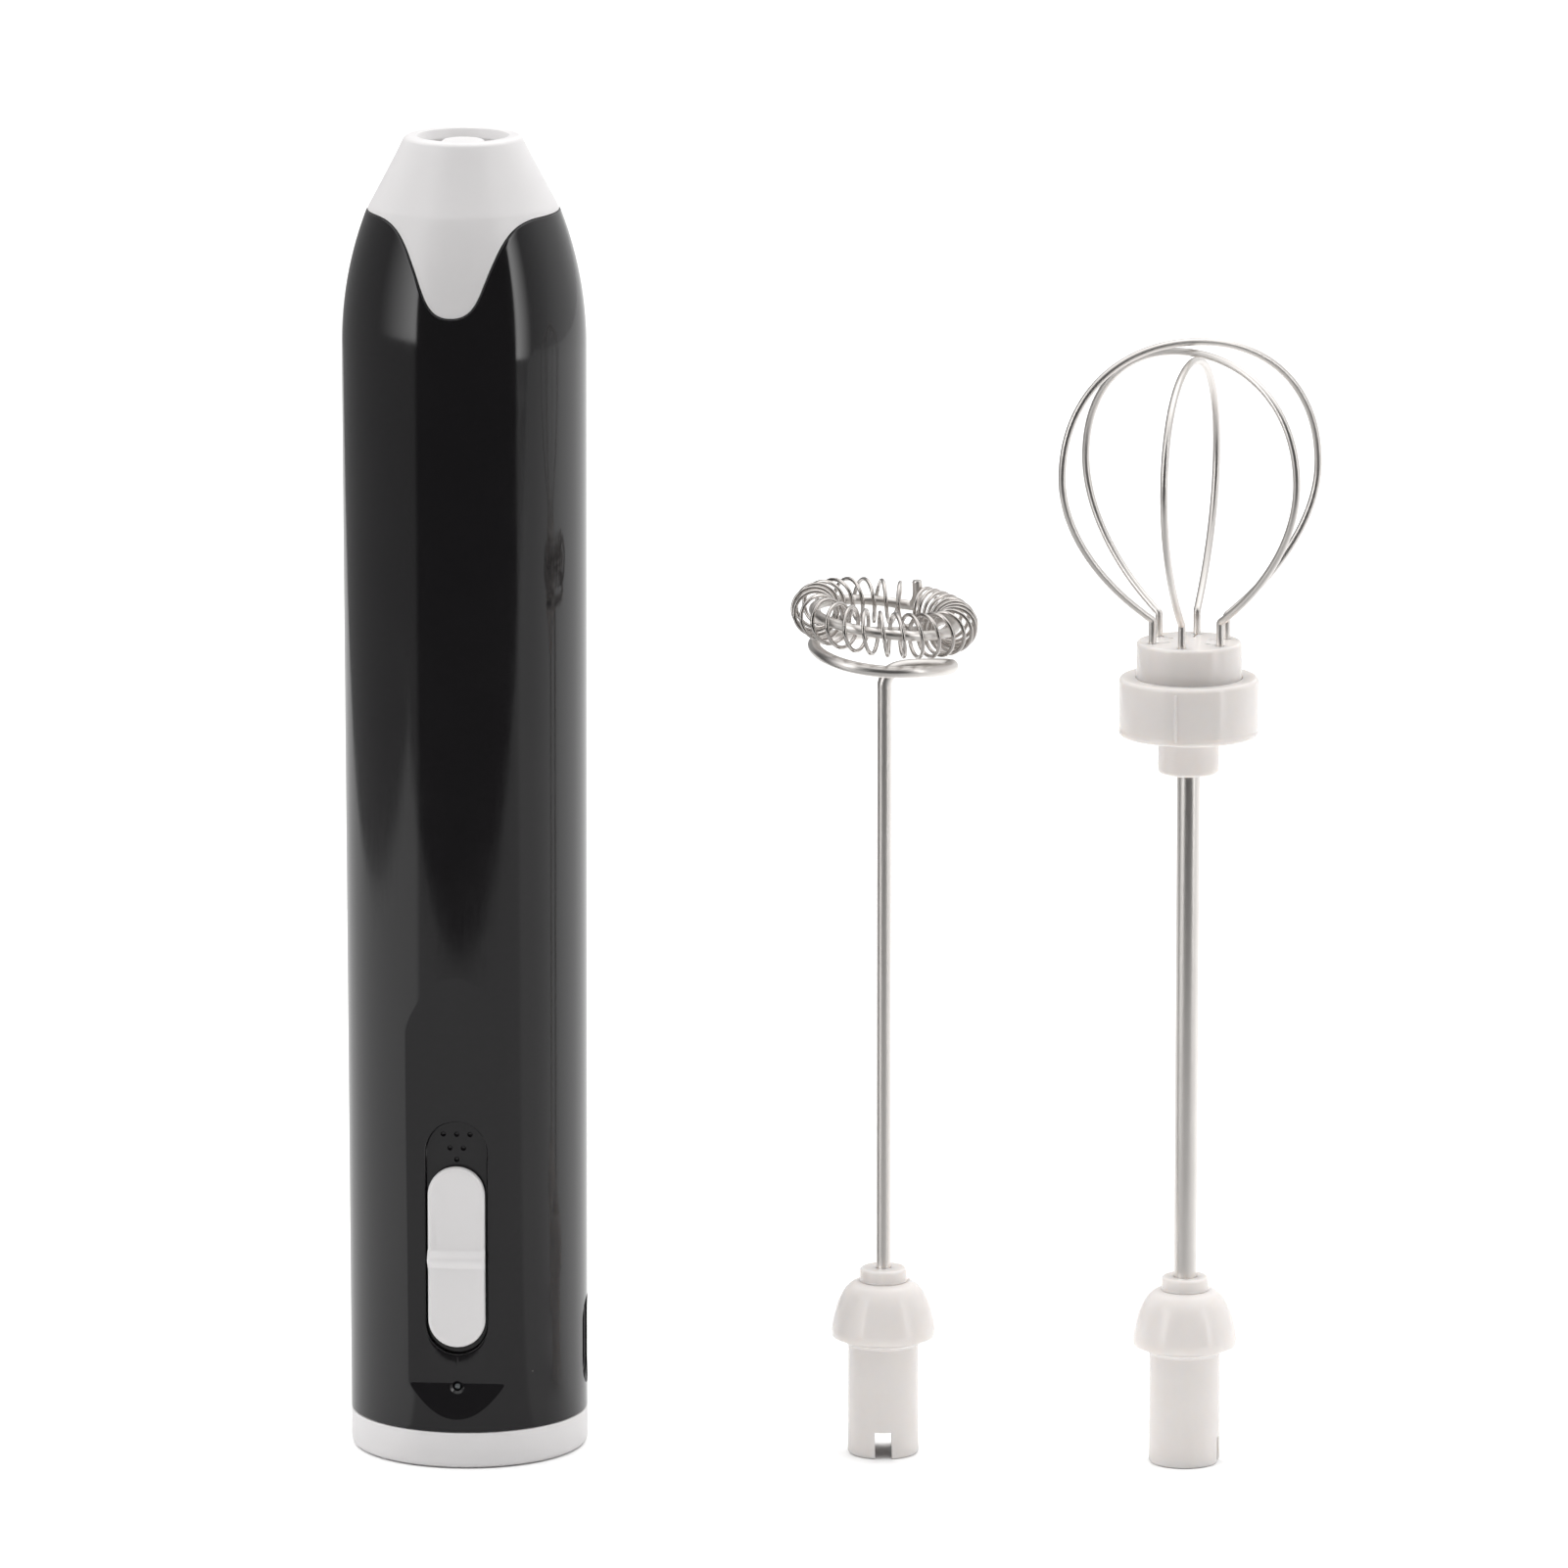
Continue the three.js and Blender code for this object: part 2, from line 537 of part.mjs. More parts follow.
// Half shell behind the boards and cell, two bulkheads and a sleeve that holds the motor.
function innerFrame() {
  const inner = FRAME_R - FRAME_WALL;
  const shell = ring(inner, FRAME_R, FRAME_BOTTOM, SHOULDER_Z - 2);
  const front = block(-FOOT_R, FOOT_R, -FOOT_R, FRAME_FRONT, FRAME_BOTTOM - 1, MOTOR_SHELF + 0.2);
  const lower = disc(FRAME_R - 0.1, CELL_FLOOR - BULKHEAD_T, CELL_FLOOR);
  const upper = disc(FRAME_R - 0.1, MOTOR_SHELF, MOTOR_SHELF + BULKHEAD_T);
  const half = LEAD_WINDOW_HALF;
  const behindLeads = LEAD_Y + LEAD_R + 2 * GAP;
  const lowerWindow = block(-half, half, -2 * FOOT_R, behindLeads, CELL_FLOOR - 5, MOTOR_SHELF - 1);
  const upperWindow = block(-half, half, -2 * FOOT_R, TAIL_Y + 2 * GAP, MOTOR_SHELF - 1, MOTOR_BOTTOM);
  const frontFlat = block(-FOOT_R, FOOT_R, -2 * FOOT_R, INNER_FLAT_Y + GAP, 0, PANEL_TOP + 3);
  const frame = union([shell.subtract(front), lower, upper, boardPillars()]);
  return frame.subtract(lowerWindow).subtract(upperWindow).subtract(frontFlat).subtract(pilotHoles());
}

// Pillars that carry the boards, from the boards' backs to the back shell.
function boardPillars() {
  const pillars = Object.values(BOARD_SCREWS)
    .map(({ x, z, y }) => barY(PILLAR_R, x, z, y + BOARD_T + GAP, FRAME_R, 16));
  return union(pillars).intersect(disc(FRAME_R - 0.1, FRAME_BOTTOM, CELL_FLOOR));
}

function pilotHoles() {
  const holes = Object.values(BOARD_SCREWS)
    .map(({ x, z, y }) => barY(SCREW_R + GAP, x, z, y - 1, y + SCREW_L + 1, 12));
  return union(holes);
}

function boardScrew({ x, z, y }) {
  const under = y - GAP;
  const slotHalf = SCREW_SLOT_W / 2;
  const slotLength = 1.4 * SCREW_HEAD_R;
  const head = barY(SCREW_HEAD_R, x, z, under - SCREW_HEAD_T, under, 16);
  const shank = barY(SCREW_R, x, z, under - 0.2, y + SCREW_L - 0.5, 12);
  const slot = block(x - slotHalf, x + slotHalf, under - 2 * SCREW_HEAD_T, under - 0.6 * SCREW_HEAD_T,
    z - slotLength / 2, z + slotLength / 2);
  return head.add(shank).subtract(slot);
}

function mainBoard() {
  const board = block(-BOARD_HALF, BOARD_HALF, BOARD_Y, BOARD_Y + BOARD_T, FRAME_BOTTOM, BOARD_TOP);
  return board.subtract(pilotHoles());
}

function chargeBoard() {
  const right = FRAME_R - 0.8;
  const board = block(CHARGE_BOARD_LEFT, right, CHARGE_BOARD_Y, CHARGE_BOARD_Y + BOARD_T,
    FRAME_BOTTOM + 0.1, PORT_Z + CHARGE_BOARD_ABOVE);
  return board.subtract(pilotHoles());
}

// Pressed metal shell with the contact tongue inside, open to +X.
function chargePort() {
  const front = INNER_R - 0.2;
  const back = front - PORT_L;
  const half = PORT_W / 2;
  const shell = block(back, front, -half, half, PORT_Z - PORT_H / 2, PORT_Z + PORT_H / 2);
  const mouth = block(back + 0.8, front + 1, -half + PORT_WALL, half - PORT_WALL,
    PORT_Z - PORT_H / 2 + PORT_WALL, PORT_Z + PORT_H / 2 - PORT_WALL);
  const tongue = block(back + 0.4, front - 0.8, -0.35, 0.35, PORT_Z - 2.4, PORT_Z + 2.4);
  return shell.subtract(mouth).add(tongue);
}

function switchHousing() {
  const half = HOUSING_HALF_W;
  const outer = block(-half, half, HOUSING_Y, BOARD_Y - GAP, RIB_Z - HOUSING_BELOW, HOUSING_TOP);
  const cavityBack = BOARD_Y - GAP - HOUSING_BACK_T;
  const cavity = block(-LEVER_W / 2 - GAP, LEVER_W / 2 + GAP, HOUSING_Y - 1, cavityBack,
    RIB_Z - LEVER_T / 2 - GAP, RIB_Z + LEVER_T / 2 + SWITCH_TRAVEL + GAP);
  return outer.subtract(cavity);
}

function switchLever() {
  return block(-LEVER_W / 2, LEVER_W / 2, RECESS_Y, BOARD_Y - 2 * GAP - HOUSING_BACK_T,
    RIB_Z - LEVER_T / 2, RIB_Z + LEVER_T / 2);
}

// Thumb slide: a pill with a grip rib, and two fingers behind it that hold the switch's lever.
function switchKnob() {
  const back = RECESS_Y - GAP;
  const front = back - KNOB_T;
  const pill = plateY(pillShape(KNOB_W, KNOB_BOTTOM, KNOB_BOTTOM + KNOB_L), front, back, 10);
  const ribHalf = RIB_T / 2;
  const rib = block(-KNOB_W / 2, KNOB_W / 2, front - RIB_H, front + 0.3, RIB_Z - ribHalf, RIB_Z + ribHalf);
  const stem = block(-STEM_W / 2, STEM_W / 2, back - 0.3, HOUSING_Y - GAP,
    RIB_Z - FINGER_SPAN / 2, RIB_Z + FINGER_SPAN / 2);
  const notchHalf = LEVER_T / 2 + GAP;
  const notch = block(-STEM_W, STEM_W, back, HOUSING_Y, RIB_Z - notchHalf, RIB_Z + notchHalf);
  return union([pill, rib, stem.subtract(notch)]);
}

function chargeLed() {
  return block(-LED_T, LED_T, BOARD_Y - GAP - LED_T, BOARD_Y - GAP, LED_Z - 1.2, LED_Z + 0.8);
}

function lightPipe() {
  const flangeBack = BOARD_Y - 2 * GAP - LED_T;
  const flange = barY(0.9, 0, LED_Z, flangeBack - 0.5, flangeBack, 12);
  const pipe = barY(LIGHT_PIPE_R, 0, LED_Z, PANEL_Y + 0.25, flangeBack - 0.2, 12);
  return flange.add(pipe);
}

// ---- cell, motor and rotor ------------------------------------------------------------------------

function batteryCell() {
  const nub = 2.9;
  return lathe([
    [0, CELL_BOTTOM], [CELL_R - 0.5, CELL_BOTTOM], [CELL_R, CELL_BOTTOM + 0.5], [CELL_R, CELL_TOP - 1.3],
    [CELL_R - 0.5, CELL_TOP - 0.8], [nub, CELL_TOP - 0.8], [nub, CELL_TOP], [0, CELL_TOP],
  ]);
}

// Nickel tab: a pad on the cell's end and a lug that stands out at the front for the lead.
function batteryTab(z) {
  const pad = disc(4.5, z, z + TAB_T, SMALL_SIDES);
  const lug = block(-1.6, 1.6, LEAD_Y + LEAD_R + 0.8, 0, z, z + TAB_T);
  return pad.add(lug);
}

function motorCan() {
  const inner = MOTOR_R - CAN_WALL;
  const bottom = MOTOR_BOTTOM + CAP_T;
  return lathe([
    [inner, bottom], [MOTOR_R, bottom], [MOTOR_R, MOTOR_TOP - 0.8], [MOTOR_R - 0.8, MOTOR_TOP],
    [BOSS_OUT_R, MOTOR_TOP], [BOSS_OUT_R, MOTOR_TOP + 1.5], [BEARING_R + GAP, MOTOR_TOP + 1.5],
    [BEARING_R + GAP, MOTOR_TOP - CAN_WALL], [inner, MOTOR_TOP - CAN_WALL],
  ]);
}

function motorEndCap() {
  const inner = MOTOR_R - CAN_WALL - GAP;
  const step = MOTOR_BOTTOM + CAP_T - GAP;
  const cap = lathe([
    [BEARING_R + GAP, MOTOR_BOTTOM], [MOTOR_R, MOTOR_BOTTOM], [MOTOR_R, step],
    [inner, step], [inner, step + 1.5], [inner - 1.2, step + 1.5], [inner - 1.2, step],
    [BEARING_R + GAP, step],
  ]);
  const tailSlots = [-1, 1].map((side) => {
    const x = side * BRUSH_X;
    return block(x - 1, x + 1, TAIL_Y - 0.3 - GAP, TAIL_Y + GAP, MOTOR_BOTTOM - 1, step + 3);
  });
  return cap.subtract(union(tailSlots));
}

const stackExtrusion = (curveSegments) => ({ depth: STACK_L, bevelEnabled: false, curveSegments });

// A sector of a ring, as long as the laminations, centred on an angle in degrees.
function magnet(centre) {
  const outer = MAGNET_R;
  const inner = MAGNET_R - MAGNET_T;
  const arc = 62;
  const shape = new THREE.Shape();
  shape.absarc(0, 0, outer, radians(centre - arc), radians(centre + arc), false);
  shape.absarc(0, 0, inner, radians(centre + arc), radians(centre - arc), true);
  const geometry = new THREE.ExtrudeGeometry(shape, stackExtrusion(8));
  geometry.translate(0, 0, STACK_Z);
  return toSolid(geometry);
}

const bush = (z0, z1) => ring(SHAFT_R + BEARING_PLAY, BEARING_R, z0, z1, SMALL_SIDES);

// Leaf brush: a spring finger beside the commutator and a tail through the end cap.
function brush(side) {
  const x = side * BRUSH_X;
  const leafZ = MOTOR_BOTTOM + CAP_T + 0.4;
  const leaf = block(x - 0.15, x + 0.15, TAIL_Y - 0.3, 1.2, leafZ, leafZ + 2.2);
  const tail = block(x - 0.7, x + 0.7, TAIL_Y - 0.3, TAIL_Y, MOTOR_BOTTOM - 1.2, leafZ + 2.2);
  return leaf.add(tail);
}

function shaftSeal() {
  const top = SOCKET_FLOOR - SOCKET_FLOOR_T - GAP;
  const lip = SHAFT_R + BEARING_PLAY;
  return lathe([
    [lip, top - 0.8], [lip + 0.9, top - SEAL_T + GAP], [SEAL_R, top - SEAL_T + GAP],
    [SEAL_R, top], [lip, top],
  ], 20);
}

const motorShaft = () => disc(SHAFT_R, MOTOR_BOTTOM + 0.3, SOCKET_FLOOR + SHAFT_REACH, SMALL_SIDES);

// Three-pole laminated star.
function armatureCore() {
  const hub = ring(SHAFT_R + GAP, ARM_HUB_R, STACK_Z, STACK_Z + STACK_L, SMALL_SIDES);
  const parts = [hub];
  for (let i = 0; i < 3; i += 1) {
    const armEnd = ARMATURE_R - SHOE_T / 2;
    const arm = block(ARM_HUB_R - 0.6, armEnd, -ARM_W / 2, ARM_W / 2, STACK_Z, STACK_Z + STACK_L);
    const shoe = new THREE.Shape();
    shoe.absarc(0, 0, ARMATURE_R, radians(-46), radians(46), false);
    shoe.absarc(0, 0, ARMATURE_R - SHOE_T, radians(46), radians(-46), true);
    const geometry = new THREE.ExtrudeGeometry(shoe, stackExtrusion(5));
    geometry.translate(0, 0, STACK_Z);
    parts.push(arm.add(toSolid(geometry)).rotate([0, 0, 120 * i + 30]));
  }
  return union(parts);
}

// One coil of the armature, wound round its arm.
function winding(i) {
  const wound = 1.5;
  const inHalf = ARM_W / 2 + GAP;
  const from = ARM_HUB_R + 0.5;
  const to = ARMATURE_R - SHOE_T - GAP - 0.9;
  const z0 = STACK_Z - GAP;
  const z1 = STACK_Z + STACK_L + GAP;
  const outer = block(from, to, -inHalf - wound, inHalf + wound, z0 - wound, z1 + wound);
  const inner = block(from - 1, to + 1, -inHalf, inHalf, z0, z1);
  return outer.subtract(inner).rotate([0, 0, 120 * i + 30]);
}

function commutator() {
  const z0 = MOTOR_BOTTOM + CAP_T + 0.3;
  return ring(SHAFT_R + GAP, BRUSH_X - 0.15 - GAP, z0, z0 + 2.6, 18);
}

// White drive spindle in the socket, with ribs at its root that turn the whisk's shank.
function driveSpindle() {
  const z0 = SOCKET_FLOOR + GAP;
  const tip = RIM_Z - RIM_TO_SPINDLE;
  const post = lathe([
    [SHAFT_R + GAP, z0], [SPINDLE_R, z0], [SPINDLE_R, tip - 0.7], [SPINDLE_R - 0.6, tip], [0, tip],
    [0, SOCKET_FLOOR + SHAFT_REACH + GAP], [SHAFT_R + GAP, SOCKET_FLOOR + SHAFT_REACH + GAP],
  ], 20);
  const reach = SHANK_R - 0.1;
  const dogs = block(-DOG_W / 2, DOG_W / 2, -reach, reach, z0, z0 + DOG_H);
  const shaftHole = disc(SHAFT_R + GAP, z0 - 1, z0 + DOG_H + 1, 20);
  return post.add(dogs.subtract(shaftHole));
}

// ---- leads ---------------------------------------------------------------------------------------

// A lead that runs up in front of the cell between two heights, from startY to endY.
function lead(x, z0, z1, startY, endY) {
  const route = new THREE.CatmullRomCurve3([
    point3(x, startY, z0), point3(x, (startY + LEAD_Y) / 2, z0 + 0.8), point3(x, LEAD_Y, z0 + 2.5),
    point3(x, LEAD_Y, (z0 + z1) / 2), point3(x, LEAD_Y, z1 - 2.5),
    point3(x, (endY + LEAD_Y) / 2, z1 - 0.8), point3(x, endY, z1),
  ]);
  return wire(route, LEAD_R, 5, 14);
}

// ---- slip-on whisks -------------------------------------------------------------------------------

// Hollow shank, domed flange and neck, with two slots that take the spindle's ribs.
function coupler(rodR) {
  const widest = SHANK_H + 2;
  const dome = [];
  for (let i = 0; i <= 6; i += 1) {
    const a = (Math.PI / 2) * (i / 6);
    dome.push([NECK_R + (DOME_R - NECK_R) * Math.cos(a), widest + (DOME_TOP - widest) * Math.sin(a)]);
  }
  const body = lathe([
    [0, COUPLER_BORE_DEPTH], [COUPLER_BORE_R, COUPLER_BORE_DEPTH], [COUPLER_BORE_R, 0],
    [SHANK_R - 0.25, 0], [SHANK_R, 0.3], [SHANK_R, SHANK_H],
    [DOME_R - 0.6, SHANK_H], [DOME_R, SHANK_H + 1.1], ...dome,
    [NECK_R - 0.2, NECK_TOP], [rodR + GAP, NECK_TOP], [rodR + GAP, ROD_SEAT], [0, ROD_SEAT],
  ]);
  const slot = block(-SLOT_W / 2, SLOT_W / 2, -2 * SHANK_R, 2 * SHANK_R, -1, SLOT_H);
  return body.subtract(slot);
}

// A point on the frother's ring, at an angle in degrees.
function ringPoint(angle, lift = 0) {
  const a = radians(angle);
  const z = RING_Z + RING_TILT_X * Math.cos(a) + RING_TILT_Y * Math.sin(a);
  return point3(RING_R * Math.cos(a), RING_R * Math.sin(a), z + lift);
}

// A point on the open turn below the ring.
function lowerPoint(angle, z) {
  return point3(RING_R * Math.cos(radians(angle)), RING_R * Math.sin(radians(angle)), z);
}

// One wire: straight shaft, a spoke out to the right, one open turn, then the ring and its stop.
function frotherWire() {
  const spoke = [point3(WIRE_BEND, 0, WIRE_TOP), point3(RING_R - 2.8, -0.1, WIRE_TOP + 0.3)];
  const straight = new THREE.LineCurve3(point3(0, 0, ROD_SEAT + GAP), point3(0, 0, WIRE_TOP - WIRE_BEND));
  const bend = new THREE.CatmullRomCurve3([
    point3(0, 0, WIRE_TOP - WIRE_BEND - 1), point3(0, 0, WIRE_TOP - WIRE_BEND),
    point3(WIRE_BEND * 0.3, 0, WIRE_TOP - WIRE_BEND * 0.3), ...spoke,
  ], false, 'centripetal');
  const points = [...spoke, point3(RING_R - 0.5, -1.3, WIRE_TOP + 0.5)];
  for (const [angle, rise] of LOWER_TURN) points.push(lowerPoint(angle, LOWER_TURN_Z + rise));
  for (let angle = -338; angle > RING_END; angle -= 24) points.push(ringPoint(angle));
  points.push(ringPoint(RING_END + 4, 0.1), ringPoint(RING_END, 1.2), ringPoint(RING_END, RING_STOP_H));
  const head = new THREE.CatmullRomCurve3(points, false, 'centripetal');
  head.arcLengthDivisions = 800;
  return union([wire(straight, WIRE_R, 8, 1), wire(bend, WIRE_R, 8, 12), wire(head, HEAD_WIRE_R, 6, 100)]);
}

// The coil spring threaded on the ring. Its turns crowd together where it starts.
class CoilCurve extends THREE.Curve {
  getPoint(t) {
    const angle = COIL_START - COIL_SWEEP * t ** COIL_CROWDING;
    const around = 2 * Math.PI * COIL_TURNS * t;
    const centre = ringPoint(angle);
    const out = point3(Math.cos(radians(angle)), Math.sin(radians(angle)), 0);
    centre.addScaledVector(out, COIL_R * Math.cos(around));
    centre.z += COIL_R * Math.sin(around);
    return centre;
  }
}

function frotherCoil() {
  const curve = new CoilCurve();
  curve.arcLengthDivisions = 3000;
  return wire(curve, COIL_WIRE_R, 4, COIL_TURNS * 8);
}

const whiskShaft = () => disc(ROD_R, ROD_SEAT + GAP, ROD_TOP, SMALL_SIDES);

function whiskHub() {
  const step = HUB_BOTTOM + BOSS_H;
  const top = step + HUB_RING_H;
  const cupR = PLUG_R + GAP;
  const rodHole = ROD_R + GAP;
  return lathe([
    [rodHole, HUB_BOTTOM], [BOSS_R, HUB_BOTTOM], [BOSS_R, step], [HUB_R, step], [HUB_R, top],
    [cupR, top], [cupR, CUP_FLOOR], [0, CUP_FLOOR],
    [0, CUP_FLOOR - HUB_FLOOR_T], [rodHole, CUP_FLOOR - HUB_FLOOR_T],
  ]);
}

function whiskPlug() {
  const body = disc(PLUG_R, CUP_FLOOR + GAP, PLUG_TOP);
  const holes = LOOPS.flatMap(({ angle }) => [angle, angle + 180]).map((angle) => {
    const hole = disc(LOOP_WIRE_R + GAP, PLUG_TOP - LOOP_FOOT_DEPTH - GAP, PLUG_TOP + 1, 8);
    const a = radians(angle - WHISK_TURN);
    return hole.translate([LOOP_FOOT_R * Math.cos(a), LOOP_FOOT_R * Math.sin(a), 0]);
  });
  return body.subtract(union(holes));
}

// Half of a balloon wire, from its foot in the plug to the crown, in its own plane.
function loopHalf(side, height) {
  const at = (u, h) => point3(side * u, 0, PLUG_TOP + h);
  const kink = [LOOP_FOOT_R + 1.5, LOOP_KINK_H + 1.4];
  const foot = new THREE.LineCurve3(at(LOOP_FOOT_R, -LOOP_FOOT_DEPTH), at(LOOP_FOOT_R, LOOP_KINK_H));
  const elbow = new THREE.QuadraticBezierCurve3(at(LOOP_FOOT_R, LOOP_KINK_H),
    at(LOOP_FOOT_R, LOOP_KINK_H + 0.6), at(...kink));
  const belly = new THREE.CubicBezierCurve3(at(...kink), at(0.66 * LOOP_R, LOOP_KINK_H + 5.2),
    at(LOOP_R, LOOP_WIDEST_H - 7.5), at(LOOP_R, LOOP_WIDEST_H));
  const crown = new THREE.CubicBezierCurve3(at(LOOP_R, LOOP_WIDEST_H),
    at(LOOP_R, LOOP_WIDEST_H + 0.6 * (height - LOOP_WIDEST_H)), at(0.6 * LOOP_R, height), at(0, height));
  return [foot, elbow, belly, crown];
}

function whiskLoop({ angle, height }) {
  const points = [];
  const steps = [2, 2, 9, 9];
  loopHalf(1, height).forEach((curve, i) => points.push(...curve.getPoints(steps[i]).slice(0, -1)));
  const back = [];
  loopHalf(-1, height).forEach((curve, i) => back.push(...curve.getPoints(steps[i]).slice(0, -1)));
  const crown = point3(0, 0, PLUG_TOP + height);
  const route = new THREE.CatmullRomCurve3([...points, crown, ...back.reverse()], false, 'centripetal');
  route.arcLengthDivisions = 600;
  return wire(route, LOOP_WIRE_R, 6, 44).rotate([0, 0, angle - WHISK_TURN]);
}

// ---- assembly ---------------------------------------------------------------------------------------

const milkFrother = new THREE.Group();

function group(x = 0, y = 0, turn = 0) {
  const part = new THREE.Group();
  part.position.set(x, y, 0);
  part.rotation.z = radians(turn);
  milkFrother.add(part);
  return part;
}

function place(parent, name, solid, material) {
  const mesh = new THREE.Mesh(toGeometry(solid), material);
  mesh.name = name;
  parent.add(mesh);
}

const handle = group();
place(handle, 'body_tube', bodyTube(), blackGloss);
place(handle, 'nose_cone', noseCone(), whiteAbs);
place(handle, 'base_cap', baseCap(), whiteAbs);
place(handle, 'inner_frame', innerFrame(), greyNylon);
place(handle, 'circuit_board', mainBoard(), boardGreen);
place(handle, 'charge_board', chargeBoard(), boardGreen);
place(handle, 'charge_port', chargePort(), plated);
place(handle, 'switch_housing', switchHousing(), plated);
place(handle, 'charge_led', chargeLed(), clear);
place(handle, 'light_pipe', lightPipe(), clear);
for (const [name, spot] of Object.entries(BOARD_SCREWS)) place(handle, name, boardScrew(spot), plated);
place(handle, 'battery_cell', batteryCell(), sleeveBlue);
place(handle, 'battery_tab_lower', batteryTab(CELL_FLOOR + GAP), plated);
place(handle, 'battery_tab_upper', batteryTab(UPPER_TAB), plated);
place(handle, 'motor_can', motorCan(), plated);
place(handle, 'motor_end_cap', motorEndCap(), greyNylon);
place(handle, 'magnet_right', magnet(0), magnetBlack);
place(handle, 'magnet_left', magnet(180), magnetBlack);
place(handle, 'front_bearing', bush(MOTOR_TOP - CAN_WALL, MOTOR_TOP + 1.4), bronze);
place(handle, 'rear_bearing', bush(MOTOR_BOTTOM, MOTOR_BOTTOM + CAP_T - GAP), bronze);
place(handle, 'brush_right', brush(1), copper);
place(handle, 'brush_left', brush(-1), copper);
place(handle, 'shaft_seal', shaftSeal(), rubberBlack);

const tabEndY = LEAD_Y + 0.5;
const leadStart = BOARD_TOP - 4.7;
const motorLeadTop = MOTOR_BOTTOM - 0.8;
const tailEndY = TAIL_Y - 0.3 - GAP - LEAD_R;
const redToTab = lead(LEAD_SPACING, leadStart, UPPER_TAB, LEAD_Y, tabEndY);
const blackToTab = lead(-LEAD_SPACING, leadStart, CELL_FLOOR + GAP, LEAD_Y, tabEndY);
place(handle, 'battery_lead_red', redToTab, leadRed);
place(handle, 'battery_lead_black', blackToTab, leadBlack);
place(handle, 'motor_lead_red', lead(BRUSH_X, leadStart, motorLeadTop, LEAD_Y, tailEndY), leadRed);
place(handle, 'motor_lead_black', lead(-BRUSH_X, leadStart, motorLeadTop, LEAD_Y, tailEndY), leadBlack);

const rotor = group();
place(rotor, 'motor_shaft', motorShaft(), stainless);
place(rotor, 'armature_core', armatureCore(), plated);
['winding_a', 'winding_b', 'winding_c'].forEach((name, i) => place(rotor, name, winding(i), copper));
place(rotor, 'commutator', commutator(), copper);
place(rotor, 'drive_spindle', driveSpindle(), whiteAbs);

const slideSwitch = group();
place(slideSwitch, 'switch_knob', switchKnob(), whiteAbs);
place(slideSwitch, 'switch_lever', switchLever(), greyNylon);

const frother = group(...FROTHER_AT, FROTHER_TURN);
place(frother, 'frother_coupler', coupler(WIRE_R), warmWhite);
place(frother, 'frother_shaft', frotherWire(), stainless);
place(frother, 'frother_coil', frotherCoil(), stainless);

const whisk = group(...WHISK_AT, WHISK_TURN);
place(whisk, 'whisk_coupler', coupler(ROD_R), warmWhite);
place(whisk, 'whisk_shaft', whiskShaft(), stainless);
place(whisk, 'whisk_hub', whiskHub(), warmWhite);
place(whisk, 'whisk_plug', whiskPlug(), warmWhite);
for (const loop of LOOPS) place(whisk, loop.name, whiskLoop(loop), stainless);

export default milkFrother;
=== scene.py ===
"""A rechargeable hand milk frother: the handle, its coil frother and its balloon whisk, standing in a row.

Shapes are drawn in millimetres, in the part's own frame, and each finished piece is scaled to metres.
"""

import json
import math

import bmesh
import bpy
from mathutils import Matrix, Vector, geometry


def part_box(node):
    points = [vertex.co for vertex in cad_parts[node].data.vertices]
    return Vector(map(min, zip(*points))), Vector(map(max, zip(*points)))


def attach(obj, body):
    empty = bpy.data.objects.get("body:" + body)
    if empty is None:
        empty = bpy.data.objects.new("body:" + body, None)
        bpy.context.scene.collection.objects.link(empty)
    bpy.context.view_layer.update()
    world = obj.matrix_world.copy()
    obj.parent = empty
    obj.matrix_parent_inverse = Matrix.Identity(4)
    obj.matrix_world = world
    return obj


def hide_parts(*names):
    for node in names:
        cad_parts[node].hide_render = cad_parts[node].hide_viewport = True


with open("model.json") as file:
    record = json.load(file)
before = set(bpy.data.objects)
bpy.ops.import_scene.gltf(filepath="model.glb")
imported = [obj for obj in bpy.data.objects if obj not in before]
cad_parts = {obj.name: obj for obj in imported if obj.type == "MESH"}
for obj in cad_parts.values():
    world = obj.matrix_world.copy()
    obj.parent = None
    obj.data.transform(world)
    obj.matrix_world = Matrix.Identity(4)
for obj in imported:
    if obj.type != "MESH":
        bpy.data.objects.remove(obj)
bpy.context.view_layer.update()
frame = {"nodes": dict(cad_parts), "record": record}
scene = bpy.context.scene

MM = 0.001
TAU = 2 * math.pi


# ---- sizes from the frame, in millimetres ----------------------------------------------------------


def span(node):
    """Lowest and highest corner of a CAD node, in millimetres."""
    low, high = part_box(node)
    return low / MM, high / MM


def centre(node):
    low, high = span(node)
    return (low + high) / 2


CASING_LOW, CASING_HIGH = span("body_tube")
CAP_HIGH = span("base_cap")[1]
NOSE_LOW, NOSE_HIGH = span("nose_cone")
KNOB_LOW, KNOB_HIGH = span("switch_knob")
SPINDLE_LOW, SPINDLE_HIGH = span("drive_spindle")

GAP = 0.3                                # kept between CAD pieces that touch
FOOT_R = CAP_HIGH.x
CREST_R = CASING_HIGH.x
WALL = 1.9
RIM_Z = NOSE_HIGH.z
RIM_R = 7.55                             # the cone's radius at its rim, before the edge is rounded
CONE_Z = CASING_HIGH.z + 0.75            # where the shoulder ends and the straight cone starts
SHOULDER_Z = CONE_Z - 18.4
SHOULDER_RADIUS = 49
SEAM_Z = CONE_Z - 0.6                    # casing to nose seam at the sides
TONGUE_Z = CONE_Z - 12.6                 # tip of the nose's tongue, front and back
CAP_TOP = CASING_LOW.z - GAP             # visible top edge of the base cap
SEAM_GAP = 0.07                          # visible gap at a moulded seam
SEAM_EDGE = 0.14                         # radius of the soft edge on each side of it
